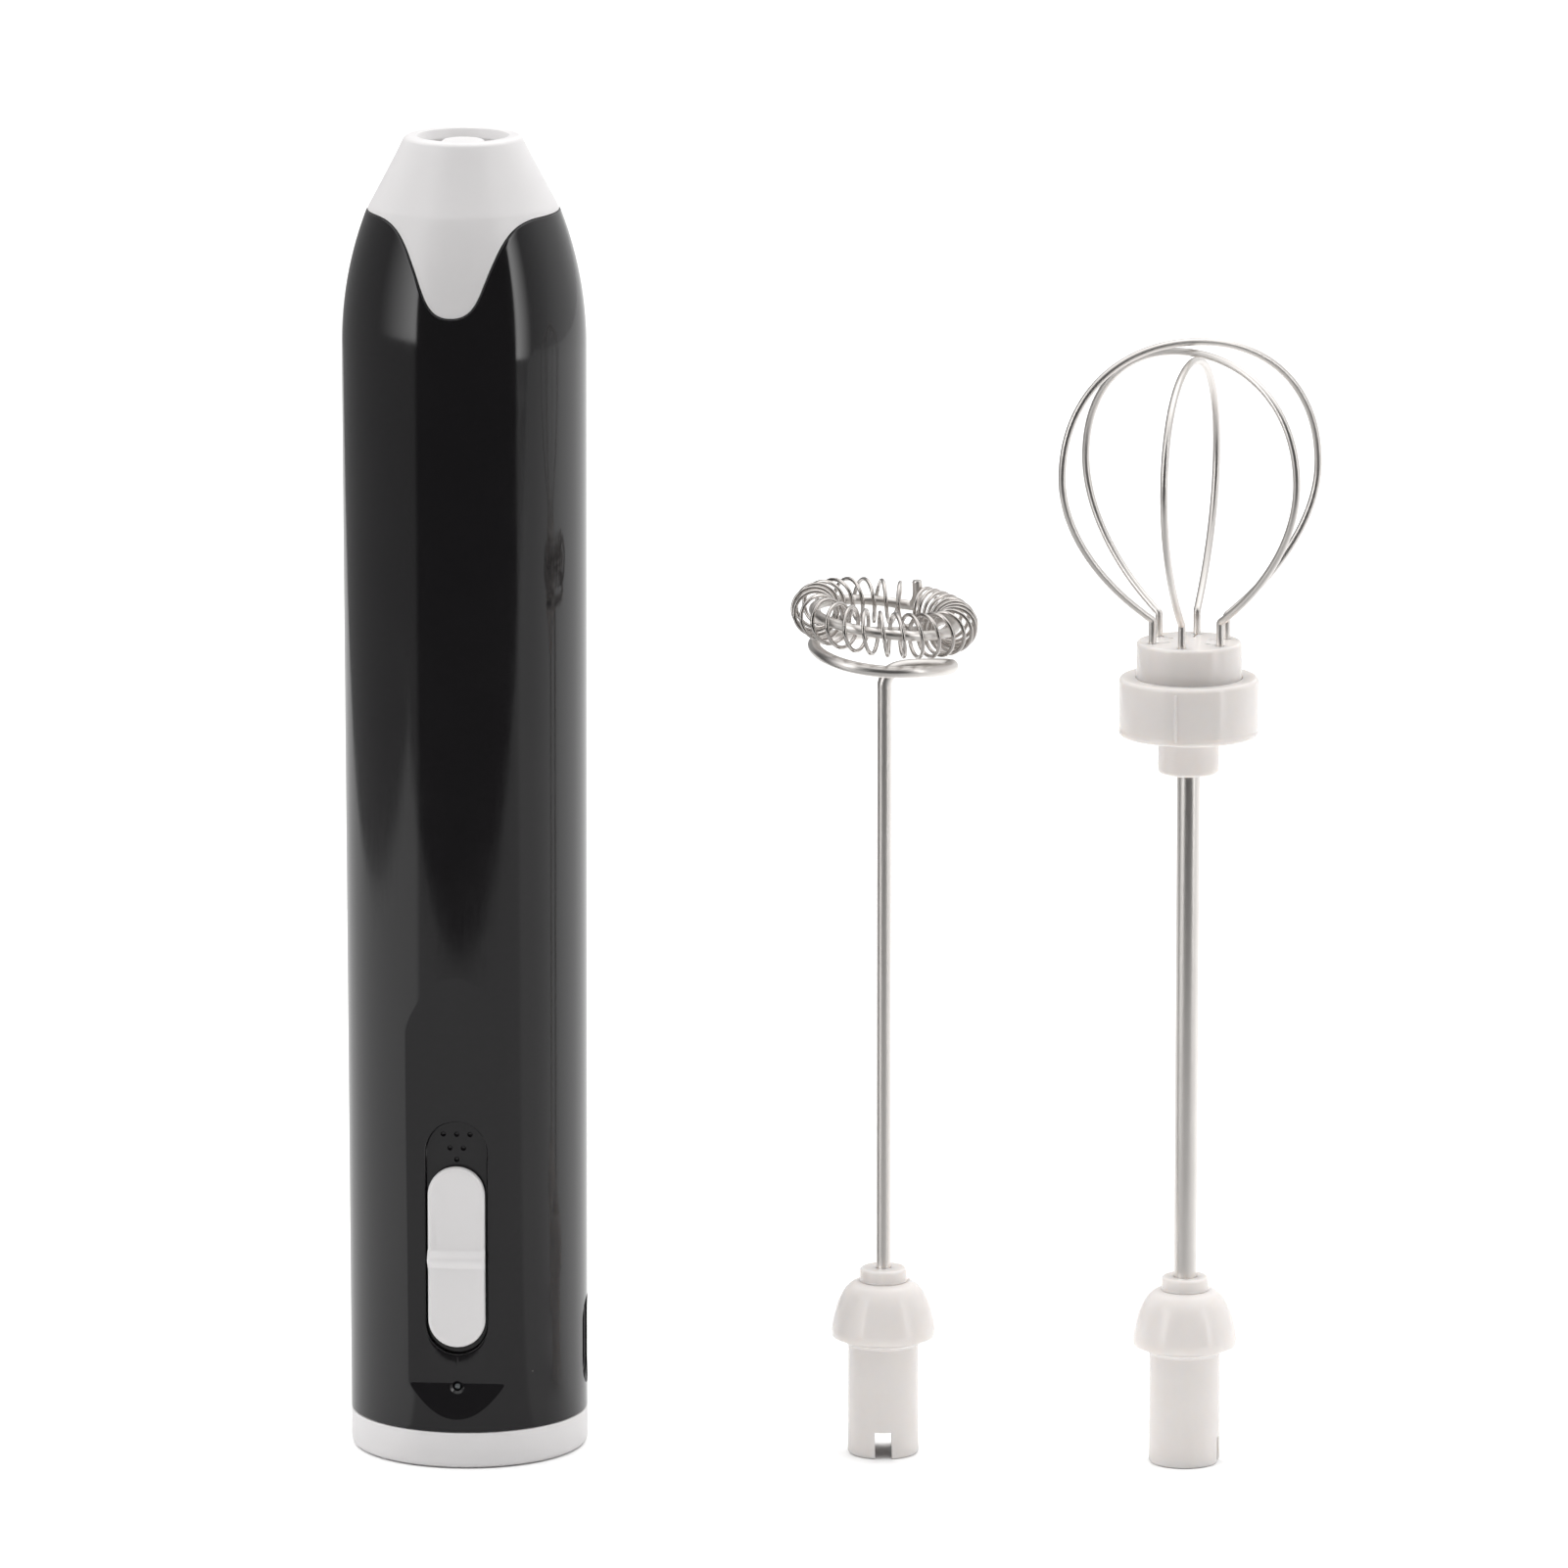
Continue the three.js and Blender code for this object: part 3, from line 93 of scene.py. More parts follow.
SEAM_ROWS_Z = SHOULDER_Z - 4             # from here up, the casing's rows bend towards the seam
CONE_PLAIN = 0.12                        # the nose sits this much under the casing's skin

COUPLER_TOP = span("frother_coupler")[1].z
ROD_R = (span("whisk_shaft")[1].x - span("whisk_shaft")[0].x) / 2
WIRE_R = 0.95
SHANK_R = 4.65
SOCKET_R = SHANK_R + 0.7
SOCKET_FLOOR = SPINDLE_LOW.z - GAP

FROTHER_AT = (centre("frother_coupler").x, centre("frother_coupler").y)
WHISK_AT = (centre("whisk_shaft").x, centre("whisk_shaft").y)
FROTHER_TURN = 5
WHISK_TURN = 85

# the flat for the thumb
PANEL_Y = -14.3
PANEL_LOW = 6.7
PANEL_HIGH = 65.5
PANEL_RAMP_LOW = 4.55
PANEL_RAMP_HIGH = 6.5
FLAT_LOW, FLAT_HIGH = PANEL_LOW + PANEL_RAMP_LOW, PANEL_HIGH - PANEL_RAMP_HIGH
RECESS_Y = PANEL_Y + 0.9
RECESS_W = 8.1
RECESS_LOW = KNOB_LOW.z - 1
RECESS_HIGH = 46.4
RIB_Z = (span("switch_lever")[0].z + span("switch_lever")[1].z) / 2
DOT_ROWS = ((1.8, 3), (3.65, 2), (5.2, 1))
DOT_PITCH = 1.76
DOT_R = 0.32
LED_Z = 10.8

# the charging socket
PORT_Z = centre("charge_port").z
PORT_W = span("charge_port")[1].y - span("charge_port")[0].y
PORT_H = span("charge_port")[1].z - span("charge_port")[0].z
PORT_FRONT = span("charge_port")[1].x
PORT_BACK = span("charge_port")[0].x


def casing_radius(z):
    """Radius of the casing and nose at a height."""
    if z >= CONE_Z:
        along = (z - CONE_Z) / (RIM_Z - CONE_Z)
        return casing_radius(CONE_Z - 1e-6) * (1 - along) + RIM_R * along
    if z > SHOULDER_Z:
        return CREST_R - SHOULDER_RADIUS + math.sqrt(SHOULDER_RADIUS**2 - (z - SHOULDER_Z) ** 2)
    return FOOT_R + (CREST_R - FOOT_R) * z / SHOULDER_Z


# ---- small tools -----------------------------------------------------------------------------------


def rounded(corners, steps=5):
    """An outline from (radius, height, fillet) corners, with an arc at each corner that has a fillet."""
    outline = []
    for i, (r, z, fillet) in enumerate(corners):
        here = Vector((r, z))
        if fillet == 0:
            outline.append(here)
            continue
        back = (Vector(corners[i - 1][:2]) - here).normalized()
        ahead = (Vector(corners[(i + 1) % len(corners)][:2]) - here).normalized()
        half = back.angle(ahead) / 2
        start = here + back * (fillet / math.tan(half))
        end = here + ahead * (fillet / math.tan(half))
        middle = here + (back + ahead).normalized() * (fillet / math.sin(half))
        sweep = math.pi - 2 * half
        for k in range(steps + 1):
            a = sweep * k / steps
            arm = (start - middle) * math.sin(sweep - a) + (end - middle) * math.sin(a)
            outline.append(middle + arm / math.sin(sweep))
    return outline


def turned(outline, steps=128):
    """A shape spun about Z. Its outline starts and ends on the axis, or closes on itself."""
    bm = bmesh.new()
    points = [bm.verts.new((r, 0, z)) for r, z in outline]
    edges = [bm.edges.new(pair) for pair in zip(points, points[1:])]
    on_axis = outline[0][0] < 1e-6 and outline[-1][0] < 1e-6
    if not on_axis:
        edges.append(bm.edges.new((points[-1], points[0])))
    bmesh.ops.spin(bm, geom=points + edges, cent=(0, 0, 0), axis=(0, 0, 1), angle=TAU,
                   steps=steps, use_merge=True)
    bmesh.ops.remove_doubles(bm, verts=bm.verts, dist=1e-4)
    bmesh.ops.recalc_face_normals(bm, faces=bm.faces)
    return bm


def lofted(sections):
    """A solid through closed sections that have the same number of points, capped at both ends."""
    bm = bmesh.new()
    rings = []
    for section in sections:
        verts = [bm.verts.new(p) for p in section]
        rings.append([bm.edges.new((a, b)) for a, b in zip(verts, verts[1:] + verts[:1])])
    for low, high in zip(rings, rings[1:]):
        bmesh.ops.bridge_loops(bm, edges=low + high)
    bmesh.ops.contextual_create(bm, geom=rings[0])
    bmesh.ops.contextual_create(bm, geom=rings[-1])
    bmesh.ops.recalc_face_normals(bm, faces=bm.faces)
    return bm


def pill(width, low, high, y, grow=0.0, steps=24):
    """Points of a pill outline that stands in X and Z at a depth y, made larger by `grow`."""
    r = width / 2
    points = []
    for end, start in ((high - r, 0), (low + r, math.pi)):
        for k in range(steps + 1):
            a = start + math.pi * k / steps
            points.append(Vector(((r + grow) * math.cos(a), y, end + (r + grow) * math.sin(a))))
    return points


def box_shape(low, high):
    bm = bmesh.new()
    size = Vector(high) - Vector(low)
    middle = (Vector(high) + Vector(low)) / 2
    bmesh.ops.create_cube(bm, size=1, matrix=Matrix.Translation(middle) @ Matrix.Diagonal((*size, 1)))
    return bm


def stand(degrees, x=0.0, y=0.0):
    """A turn about Z, then a move to a place."""
    return Matrix.Translation((x, y, 0)) @ Matrix.Rotation(math.radians(degrees), 4, "Z")


def turn(bm, degrees, x=0.0, y=0.0):
    bmesh.ops.transform(bm, verts=bm.verts, matrix=stand(degrees, x, y))
    return bm


def ease_edges(bm, offset):
    """Rounds off every edge of a shape."""
    bmesh.ops.bevel(bm, geom=bm.edges[:], offset=offset, offset_type="OFFSET", segments=3, profile=0.5,
                    affect="EDGES", material=-1, clamp_overlap=True)
    return bm


def as_object(name, bm):
    mesh = bpy.data.meshes.new(name)
    bm.to_mesh(mesh)
    bm.free()
    obj = bpy.data.objects.new(name, mesh)
    scene.collection.objects.link(obj)
    return obj


def evaluated_mesh(obj):
    """A plain mesh of an object with its modifiers or curve settings applied."""
    bpy.context.view_layer.update()
    return bpy.data.meshes.new_from_object(obj.evaluated_get(bpy.context.evaluated_depsgraph_get()))


def carve(piece, tool_shape, operation="DIFFERENCE"):
    """Cuts a shape out of a piece, or joins it on."""
    tool = as_object("tool", tool_shape)
    modifier = piece.modifiers.new("carve", "BOOLEAN")
    modifier.object = tool
    modifier.operation = operation
    modifier.solver = "EXACT"
    result = evaluated_mesh(piece)
    piece.modifiers.clear()
    piece.data = result
    bpy.data.objects.remove(tool)


def finish_piece(piece, material, body, node, sharp=32):
    """Scales a drawn piece to metres, smooths it, and hangs it on its body in its CAD node's place."""
    mesh = piece.data
    mesh.transform(Matrix.Scale(MM, 4))
    mesh.materials.clear()
    mesh.materials.append(material)
    mesh.polygons.foreach_set("use_smooth", [True] * len(mesh.polygons))
    mesh.polygons.foreach_set("material_index", [0] * len(mesh.polygons))
    mesh.set_sharp_from_angle(angle=math.radians(sharp))
    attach(piece, body)
    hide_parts(node)
    return piece


def smooth_path(points, step):
    """Points about a step apart on a centripetal Catmull-Rom curve through the given ones."""
    points = [Vector(p) for p in points]
    points = [2 * points[0] - points[1]] + points + [2 * points[-1] - points[-2]]
    path = []
    for p0, p1, p2, p3 in zip(points, points[1:], points[2:], points[3:]):
        t1 = (p1 - p0).length ** 0.5
        t2 = t1 + (p2 - p1).length ** 0.5
        t3 = t2 + (p3 - p2).length ** 0.5
        count = max(2, round((p2 - p1).length / step))
        for k in range(count):
            t = t1 + (t2 - t1) * k / count
            a1 = p0.lerp(p1, t / t1)
            a2 = p1.lerp(p2, (t - t1) / (t2 - t1))
            a3 = p2.lerp(p3, (t - t2) / (t3 - t2))
            b1 = a1.lerp(a2, t / t2)
            b2 = a2.lerp(a3, (t - t1) / (t3 - t1))
            path.append(b1.lerp(b2, (t - t1) / (t2 - t1)))
    path.append(points[-2])
    return path


def wire(name, path, radius, sides=16, chamfer=0.25, thickness=None):
    """A round wire along a path, with its cut ends eased. thickness(distance) makes it slimmer on the way."""
    inset = [path[0], *path, path[-1]]
    inset[1] = path[0] + (path[1] - path[0]).normalized() * chamfer * radius
    inset[-2] = path[-1] + (path[-2] - path[-1]).normalized() * chamfer * radius
    curve = bpy.data.curves.new(name, "CURVE")
    curve.dimensions = "3D"
    curve.bevel_depth = radius
    curve.bevel_resolution = sides // 4
    curve.use_fill_caps = True
    spline = curve.splines.new("POLY")
    spline.points.add(len(inset) - 1)
    along = 0
    for point, place, last in zip(spline.points, inset, inset[:1] + inset):
        point.co = (*place, 1)
        along += (place - last).length
        point.radius = thickness(along) if thickness else 1
    for end in (0, -1):
        spline.points[end].radius *= 1 - chamfer
    drawn = bpy.data.objects.new(name, curve)
    scene.collection.objects.link(drawn)
    mesh = evaluated_mesh(drawn)
    bpy.data.objects.remove(drawn)
    bm = bmesh.new()
    bm.from_mesh(mesh)
    bmesh.ops.remove_doubles(bm, verts=bm.verts, dist=1e-5)
    bmesh.ops.recalc_face_normals(bm, faces=bm.faces)
    return as_object(name, bm)


# ---- materials -------------------------------------------------------------------------------------


def colour(code, alpha=1.0):
    """A linear colour from an sRGB hex value."""
    values = [int(code[i:i + 2], 16) / 255 for i in (1, 3, 5)]
    return (*(v / 12.92 if v <= 0.04045 else ((v + 0.055) / 1.055) ** 2.4 for v in values), alpha)


def add(tree, kind, settings=None, links=None):
    """Adds a node. Settings name its properties or its inputs, and links give the sockets it reads."""
    made = tree.nodes.new(kind)
    for key, value in (settings or {}).items():
        if isinstance(key, str) and key not in made.inputs:
            setattr(made, key, value)
        else:
            made.inputs[key].default_value = value
    for key, socket in (links or {}).items():
        tree.links.new(socket, made.inputs[key])
    return made


def start_material(name):
    """An empty material: its node tree, and the part's own coordinates in metres."""
    material = bpy.data.materials.new(name)
    material.use_nodes = True
    tree = material.node_tree
    tree.nodes.clear()
    where = add(tree, "ShaderNodeTexCoord").outputs["Object"]
    return material, tree, where


def end_material(tree, settings, links):
    shader = add(tree, "ShaderNodeBsdfPrincipled", settings, links)
    add(tree, "ShaderNodeOutputMaterial", links={"Surface": shader.outputs["BSDF"]})


def per_mm(size):
    """Texture scale that gives one cell each `size` millimetres."""
    return 1 / (size * MM)


def noise(tree, where, size, detail):
    """A cloudy pattern whose cells are `size` millimetres across."""
    settings = {"Scale": per_mm(size), "Detail": detail}
    return add(tree, "ShaderNodeTexNoise", settings, {"Vector": where}).outputs["Fac"]


def relief(tree, pattern, strength, depth):
    """Surface directions that follow a pattern's rise and fall."""
    settings = {"Strength": strength, "Distance": depth}
    return add(tree, "ShaderNodeBump", settings, {"Height": pattern}).outputs["Normal"]


def blend_colours(tree, factor, first, second):
    mixed = add(tree, "ShaderNodeMix", {"data_type": "RGBA"}, {"Factor": factor})
    mixed.inputs["A"].default_value = colour(first)
    mixed.inputs["B"].default_value = colour(second)
    return mixed.outputs["Result"]


def ramp(tree, value, start, end, low, high, easing="SMOOTHSTEP"):
    """A value between low and high, as another goes from start to end."""
    settings = {"interpolation_type": easing, "From Min": start, "From Max": end,
                "To Min": low, "To Max": high}
    return add(tree, "ShaderNodeMapRange", settings, {"Value": value}).outputs[0]


def spread(tree, value, low, high, start=0.3, end=0.7):
    """A value between low and high, evenly, as a pattern goes from start to end."""
    return ramp(tree, value, start, end, low, high, "LINEAR")


def piano_black_abs():
    """ABS moulded against a mirror-polished tool: near black, with a deep clear reflection.
    The skin has slow sink waves a few millimetres long, faint wipe marks and a little settled dust."""
    material, tree, where = start_material("piano_black_abs")
    waves = noise(tree, where, 7, 1.0)
    wiped = add(tree, "ShaderNodeMapping", {"Scale": (1, 1, 0.12)}, {"Vector": where})
    marks = noise(tree, wiped.outputs[0], 0.5, 3.0)
    smudges = noise(tree, where, 16, 4.0)
    dust = add(tree, "ShaderNodeTexVoronoi", {"Scale": per_mm(5.5), "Randomness": 1.0}, {"Vector": where})
    speck = spread(tree, dust.outputs["Distance"], 1, 0, 0.008, 0.02)
    sparse = spread(tree, dust.outputs["Color"], 0, 1, 0.5, 0.56)
    dusty = add(tree, "ShaderNodeMath", {"operation": "MULTIPLY"}, {0: speck, 1: sparse}).outputs[0]
    depth = blend_colours(tree, smudges, "#141315", "#1b1a1b")
    skin = add(tree, "ShaderNodeMix", {"data_type": "RGBA"}, {"Factor": dusty, "A": depth})
    skin.inputs["B"].default_value = colour("#6f6c68")
    roughness = add(tree, "ShaderNodeMath", {"operation": "ADD"},
                    {0: spread(tree, smudges, 0.05, 0.09), 1: spread(tree, marks, 0.0, 0.035)})
    end_material(tree, {"IOR": 1.54},
                 {"Base Color": skin.outputs["Result"], "Roughness": roughness.outputs[0],
                  "Normal": relief(tree, waves, 0.22, 0.00002)})
    return material


def moulded(name, tones, cloud_size, detail, grain_size, depth, rough, settings):
    """A moulded plastic: slow clouds of tone and gloss under a fine grain, with a glow inside."""
    material, tree, where = start_material(name)
    cloud = noise(tree, where, cloud_size, detail)
    grain = noise(tree, where, grain_size, 2.0)
    end_material(tree, settings,
                 {"Base Color": blend_colours(tree, cloud, *tones), "Roughness": spread(tree, cloud, *rough),
                  "Normal": relief(tree, grain, depth, 0.00002)})
    return material


def drawn_steel(name, first, second, low, high, across):
    """Stainless wire pulled through a die: a bright metal with fine lines along its length.
    The lines are drawn a few hundredths of a millimetre apart, coarser than the real ones, so they show."""
    material, tree, where = start_material(name)
    along = add(tree, "ShaderNodeMapping", {"Scale": (1, 1, 0.03)}, {"Vector": where})
    lines = noise(tree, along.outputs[0], across, 3.0)
    tone = blend_colours(tree, noise(tree, where, 6, 2.0), first, second)
    end_material(tree, {"Metallic": 1.0},
                 {"Base Color": tone, "Roughness": spread(tree, lines, low, high),
                  "Normal": relief(tree, lines, 0.2, 0.00001)})
    return material


def plain_finish(name, first, second, size, low, high, depth=0.1, **settings):
    """A finish with two close tones, an uneven gloss and a shallow relief, all at one pattern size."""
    material, tree, where = start_material(name)
    pattern = noise(tree, where, size, 3.0)
    named = {key.replace("_", " "): value for key, value in settings.items()}
    end_material(tree, named,
                 {"Base Color": blend_colours(tree, pattern, first, second),
                  "Roughness": spread(tree, pattern, low, high),
                  "Normal": relief(tree, pattern, depth, 0.00005)})
    return material


def wound_copper():
    """Enamelled copper wire, wound in layers: round turns 0.3 mm apart under a clear amber varnish."""
    material, tree, where = start_material("wound_copper")
    turns = add(tree, "ShaderNodeTexWave", {"wave_type": "BANDS", "bands_direction": "Z",
                                            "Scale": per_mm(0.3) / 20, "Distortion": 0.4},
                {"Vector": where}).outputs["Fac"]
    end_material(tree, {"Metallic": 1.0, "Coat Weight": 0.6},
                 {"Base Color": blend_colours(tree, turns, "#8c4722", "#c8743f"),
                  "Roughness": spread(tree, turns, 0.25, 0.4), "Normal": relief(tree, turns, 0.6, 0.0001)})
    return material


def solder_mask():
    """Glass-epoxy board under green solder mask: glossy, with copper tracks standing under the mask."""
    material, tree, where = start_material("solder_mask")
    tracks = add(tree, "ShaderNodeTexBrick", {"Scale": per_mm(9), "Mortar Size": 0.03, "Brick Width": 0.5,
                                              "Row Height": 0.25}, {"Vector": where})
    tracks.inputs["Color1"].default_value = colour("#14512c")
    tracks.inputs["Color2"].default_value = colour("#175a32")
    tracks.inputs["Mortar"].default_value = colour("#2b7d49")
    end_material(tree, {"IOR": 1.55},
                 {"Base Color": tracks.outputs["Color"],
                  "Roughness": spread(tree, tracks.outputs["Fac"], 0.25, 0.32, 0, 1),
                  "Normal": relief(tree, tracks.outputs["Fac"], 0.4, 0.00005)})
    return material


BLACK = piano_black_abs()
# White ABS from a tool with a fine satin finish: a soft broad highlight, a very slight glow inside, and a
# spark-eroded grain about a fifth of a millimetre across.
WHITE = moulded("satin_white_abs", ("#d9d7d7", "#dedcdc"), 9, 2.0, 0.22, 0.12, (0.3, 0.38),
                {"IOR": 1.53, "Subsurface Weight": 0.12, "Subsurface Radius": (1.0, 0.95, 0.9),
                 "Subsurface Scale": 0.0008})
# Natural white polypropylene: milky, a little warm, glossier, and lit from inside at thin edges.
MILKY = moulded("milky_polypropylene", ("#ddd8d5", "#e3dedb"), 3.5, 3.0, 0.3, 0.15, (0.14, 0.2),
                {"IOR": 1.49, "Subsurface Weight": 0.45, "Subsurface Radius": (1.0, 0.85, 0.7),
                 "Subsurface Scale": 0.002})
STEEL = drawn_steel("drawn_stainless", "#e2deda", "#ebe7e3", 0.28, 0.38, 0.05)
SPRING = drawn_steel("spring_stainless", "#c6c1bd", "#d4cfcb", 0.12, 0.2, 0.04)
CLEAR = plain_finish("clear_polycarbonate", "#dfe7ea", "#e8eef0", 2, 0.04, 0.1, 0.05,
                     Transmission_Weight=0.85, IOR=1.58)
NICKEL = plain_finish("nickel_plated_steel", "#bfbdb8", "#cbc9c4", 0.6, 0.18, 0.34, 0.15, Metallic=1.0)
INNER = {
    "grey_nylon": plain_finish("glass_filled_nylon", "#85878a", "#919396", 0.3, 0.5, 0.65, 0.4, IOR=1.53),
    "board": solder_mask(),
    "plated_steel": NICKEL,
    "clear_plastic": CLEAR,
    "cell_sleeve": plain_finish("shrunk_pvc_sleeve", "#2a5c9d", "#3168ad", 5, 0.28, 0.42, 0.3, IOR=1.53),
    "ferrite": plain_finish("sintered_ferrite", "#343437", "#414145", 0.2, 0.5, 0.7, 0.5, IOR=1.8),
    "bronze": plain_finish("sintered_bronze", "#93652f", "#b58247", 0.15, 0.35, 0.5, 0.6, Metallic=1.0),
    "copper": wound_copper(),
    "seal_rubber": plain_finish("nitrile_rubber", "#191919", "#212121", 0.4, 0.6, 0.8, 0.3, IOR=1.52),
    "lead_red": plain_finish("red_silicone_lead", "#a61d1a", "#b92622", 1.5, 0.38, 0.5, 0.2, IOR=1.43),
    "lead_black": plain_finish("black_silicone_lead", "#121212", "#1b1b1b", 1.5, 0.38, 0.5, 0.2, IOR=1.43),
    "stainless": STEEL,
}
SLOTS = {part["node"]: part["material_slot"] for part in frame["record"]["subparts"]}
for name, part in frame["nodes"].items():
    part.data.materials.clear()
    part.data.materials.append(INNER.get(SLOTS[name], WHITE))


# ---- casing and nose -------------------------------------------------------------------------------


def seam_curve():
    """The seam's outline from the tongue's tip out to where it runs level, as (x, z) points."""
    waist = Vector((5.2, TONGUE_Z + 6.5, 0))
    tip = [Vector((0, TONGUE_Z, 0)), Vector((3.3, TONGUE_Z, 0)), Vector((3.6, TONGUE_Z + 2.8, 0)), waist]
    root = [waist, Vector((6.5, waist.y + 3, 0)), Vector((7.6, SEAM_Z, 0)), Vector((11, SEAM_Z, 0))]
    return geometry.interpolate_bezier(*tip, 60) + geometry.interpolate_bezier(*root, 60)[1:]


SEAM = seam_curve()


def seam_height(x):
    """Height and slope of the seam at a distance from the handle's middle plane."""
    x = abs(x)
    for a, b in zip(SEAM, SEAM[1:]):
        if x <= b.x:
            slope = (b.y - a.y) / (b.x - a.x)
            return a.y + (x - a.x) * slope, slope
    return SEAM_Z, 0.0


def seam_at(angle):
    """Height of the seam on the casing at an angle, and how much steeper than level it runs there."""
    z = SEAM_Z
    for _ in range(40):
        z = (z + seam_height(casing_radius(z) * math.sin(angle))[0]) / 2
    slope = seam_height(casing_radius(z) * math.sin(angle))[1] * math.cos(angle)
    return z, math.hypot(1, slope)


def column_angles():
    """Angles from the front, close together over the tongues and the flat, and wider at the sides."""
    fine, coarse, reach = 0.7, 2.0, 63.0
    angles = []
    for start in (-reach, 180 - reach):
        count = round(2 * reach / fine)
        angles += [start + 2 * reach * k / count for k in range(count)]
        gap = 180 - 2 * reach
        count = round(gap / coarse)
        angles += [start + 2 * reach + gap * k / count for k in range(count)]
    return [math.radians(a) for a in angles]


ANGLES = column_angles()
SEAMS = [seam_at(a) for a in ANGLES]


def wrapped(name, row_count, place):
    """A closed skin round the handle. place(column, row) gives the radius and height of each point."""
    columns = len(ANGLES)
    bm = bmesh.new()
    bmesh.ops.create_grid(bm, x_segments=columns, y_segments=row_count, size=0.5)
    for vert in bm.verts:
        column = round((vert.co.x + 0.5) * columns) % columns
        row = round((vert.co.y + 0.5) * row_count) % row_count
        vert.co = place(column, row)
    bmesh.ops.remove_doubles(bm, verts=bm.verts, dist=1e-5)
    bmesh.ops.recalc_face_normals(bm, faces=bm.faces)
    return as_object(name, bm)


def soft_max(a, b, k):
    """The larger of two values, with the corner between them rounded over a width k."""
    near = max(k - abs(a - b), 0) / k
    return max(a, b) + near * near * k / 4


def panel_plane(z):
    """Depth of the thumb's flat at a height, with a ramp at each end."""
    low = PANEL_Y - (FLAT_LOW - z) * (FOOT_R + 0.02 + PANEL_Y) / PANEL_RAMP_LOW
    high = PANEL_Y - (z - PANEL_HIGH + PANEL_RAMP_HIGH) * (FOOT_R + 0.15 + PANEL_Y) / PANEL_RAMP_HIGH
    return -soft_max(soft_max(-low, -PANEL_Y, 0.02), -high, 0.3)


def levels(start, end, step):
    count = max(1, round((end - start) / step))
    return [start + (end - start) * k / count for k in range(count)]


def round_over(radius, steps=5):
    """(distance below an edge, distance into the wall) pairs that round the edge over."""
    turns = [math.pi / 2 * k / steps for k in range(steps + 1)]
    return [(radius * (1 - math.sin(a)), radius * (1 - math.cos(a))) for a in turns]


def casing_rows():
    """Rows of the casing's skin: up the outside, over the seam edge, and down the inside.
    A row gives (height, share of the way to the seam, distance below the seam, depth into the wall)."""
    low = CAP_TOP + SEAM_GAP
    rows = [(low, 0, 0, WALL)]
    rows += [(low + below, 0, 0, into) for below, into in reversed(round_over(SEAM_EDGE))]
    heights = levels(low + 0.5, PANEL_LOW - 0.5, 0.6) + levels(PANEL_LOW - 0.5, PANEL_LOW + 5.1, 0.22)
    heights += levels(PANEL_LOW + 5.1, FLAT_HIGH - 0.8, 5)
    heights += levels(FLAT_HIGH - 0.8, PANEL_HIGH + 1, 0.3)
    heights += levels(PANEL_HIGH + 1, SEAM_ROWS_Z, 8)
    rows += [(z, 0, 0, 0) for z in heights]
    rows += [(SEAM_ROWS_Z, share, 0, 0) for share in levels(0, 1, 1 / 44)]
    rows += [(0, 1, below, into) for below, into in round_over(SEAM_EDGE)]
    rows += [(0, 1, 0, 0.6), (0, 1, 0, WALL)]
    rows += [(SEAM_ROWS_Z, share, 0, WALL) for share in (0.75, 0.5, 0.25, 0)]
    rows += [(z, 0, 0, WALL) for z in (PANEL_HIGH + 3, PANEL_HIGH + 1.9, PANEL_HIGH, FLAT_HIGH, FLAT_LOW)]
    return rows


def casing():
    """The long black casing, with its flat for the thumb and its cut-outs."""
    rows = casing_rows()

    def place(column, row):
        height, share, below, into = rows[row]
        seam, steep = SEAMS[column]
        top = seam - SEAM_GAP / 2 * steep
        z = height
        if share > 0:
            z = SEAM_ROWS_Z + (top - SEAM_EDGE * steep - SEAM_ROWS_Z) * share
        if share == 1:
            z = top - below * steep
        if into == WALL and share == 1:
            z = top
        r = casing_radius(z) - into
        x, y = r * math.sin(ANGLES[column]), -r * math.cos(ANGLES[column])
        if y < 0 and z < PANEL_HIGH + 2:
            y = soft_max(y, panel_plane(z) + into, 0.05)
        return Vector((x, y, z))

    piece = wrapped("casing", len(rows), place)
    mouth = [(0.35, -2.0), (0.35, -0.001), (0.12, 0.06), (0.03, 0.15), (0.0, 0.3)]
    mouth = [(grow, PANEL_Y + depth) for grow, depth in mouth]
    pocket = [pill(RECESS_W, RECESS_LOW, RECESS_HIGH, y, grow) for grow, y in mouth]
    pocket += [pill(RECESS_W, RECESS_LOW, RECESS_HIGH, RECESS_Y - 0.15, 0),
               pill(RECESS_W, RECESS_LOW, RECESS_HIGH, RECESS_Y, -0.15)]
    carve(piece, lofted(pocket))
    slot_low, slot_high = RIB_Z - 2.6, RIB_Z + 8.2
    carve(piece, box_shape((-1.5, RECESS_Y - 1, slot_low), (1.5, RECESS_Y + 4, slot_high)))
    carve(piece, dot_pits())
    carve(piece, led_hole())
    carve(piece, turn(port_cut(), 90))
    return finish_piece(piece, BLACK, "handle", "body_tube", 30)


def facing_front(bm, x, y, z):
    """Lays a shape that was turned about Z along Y, with its top towards the front."""
    bmesh.ops.transform(bm, verts=bm.verts,
                        matrix=Matrix.Translation((x, y, z)) @ Matrix.Rotation(math.pi / 2, 4, "X"))
    return bm


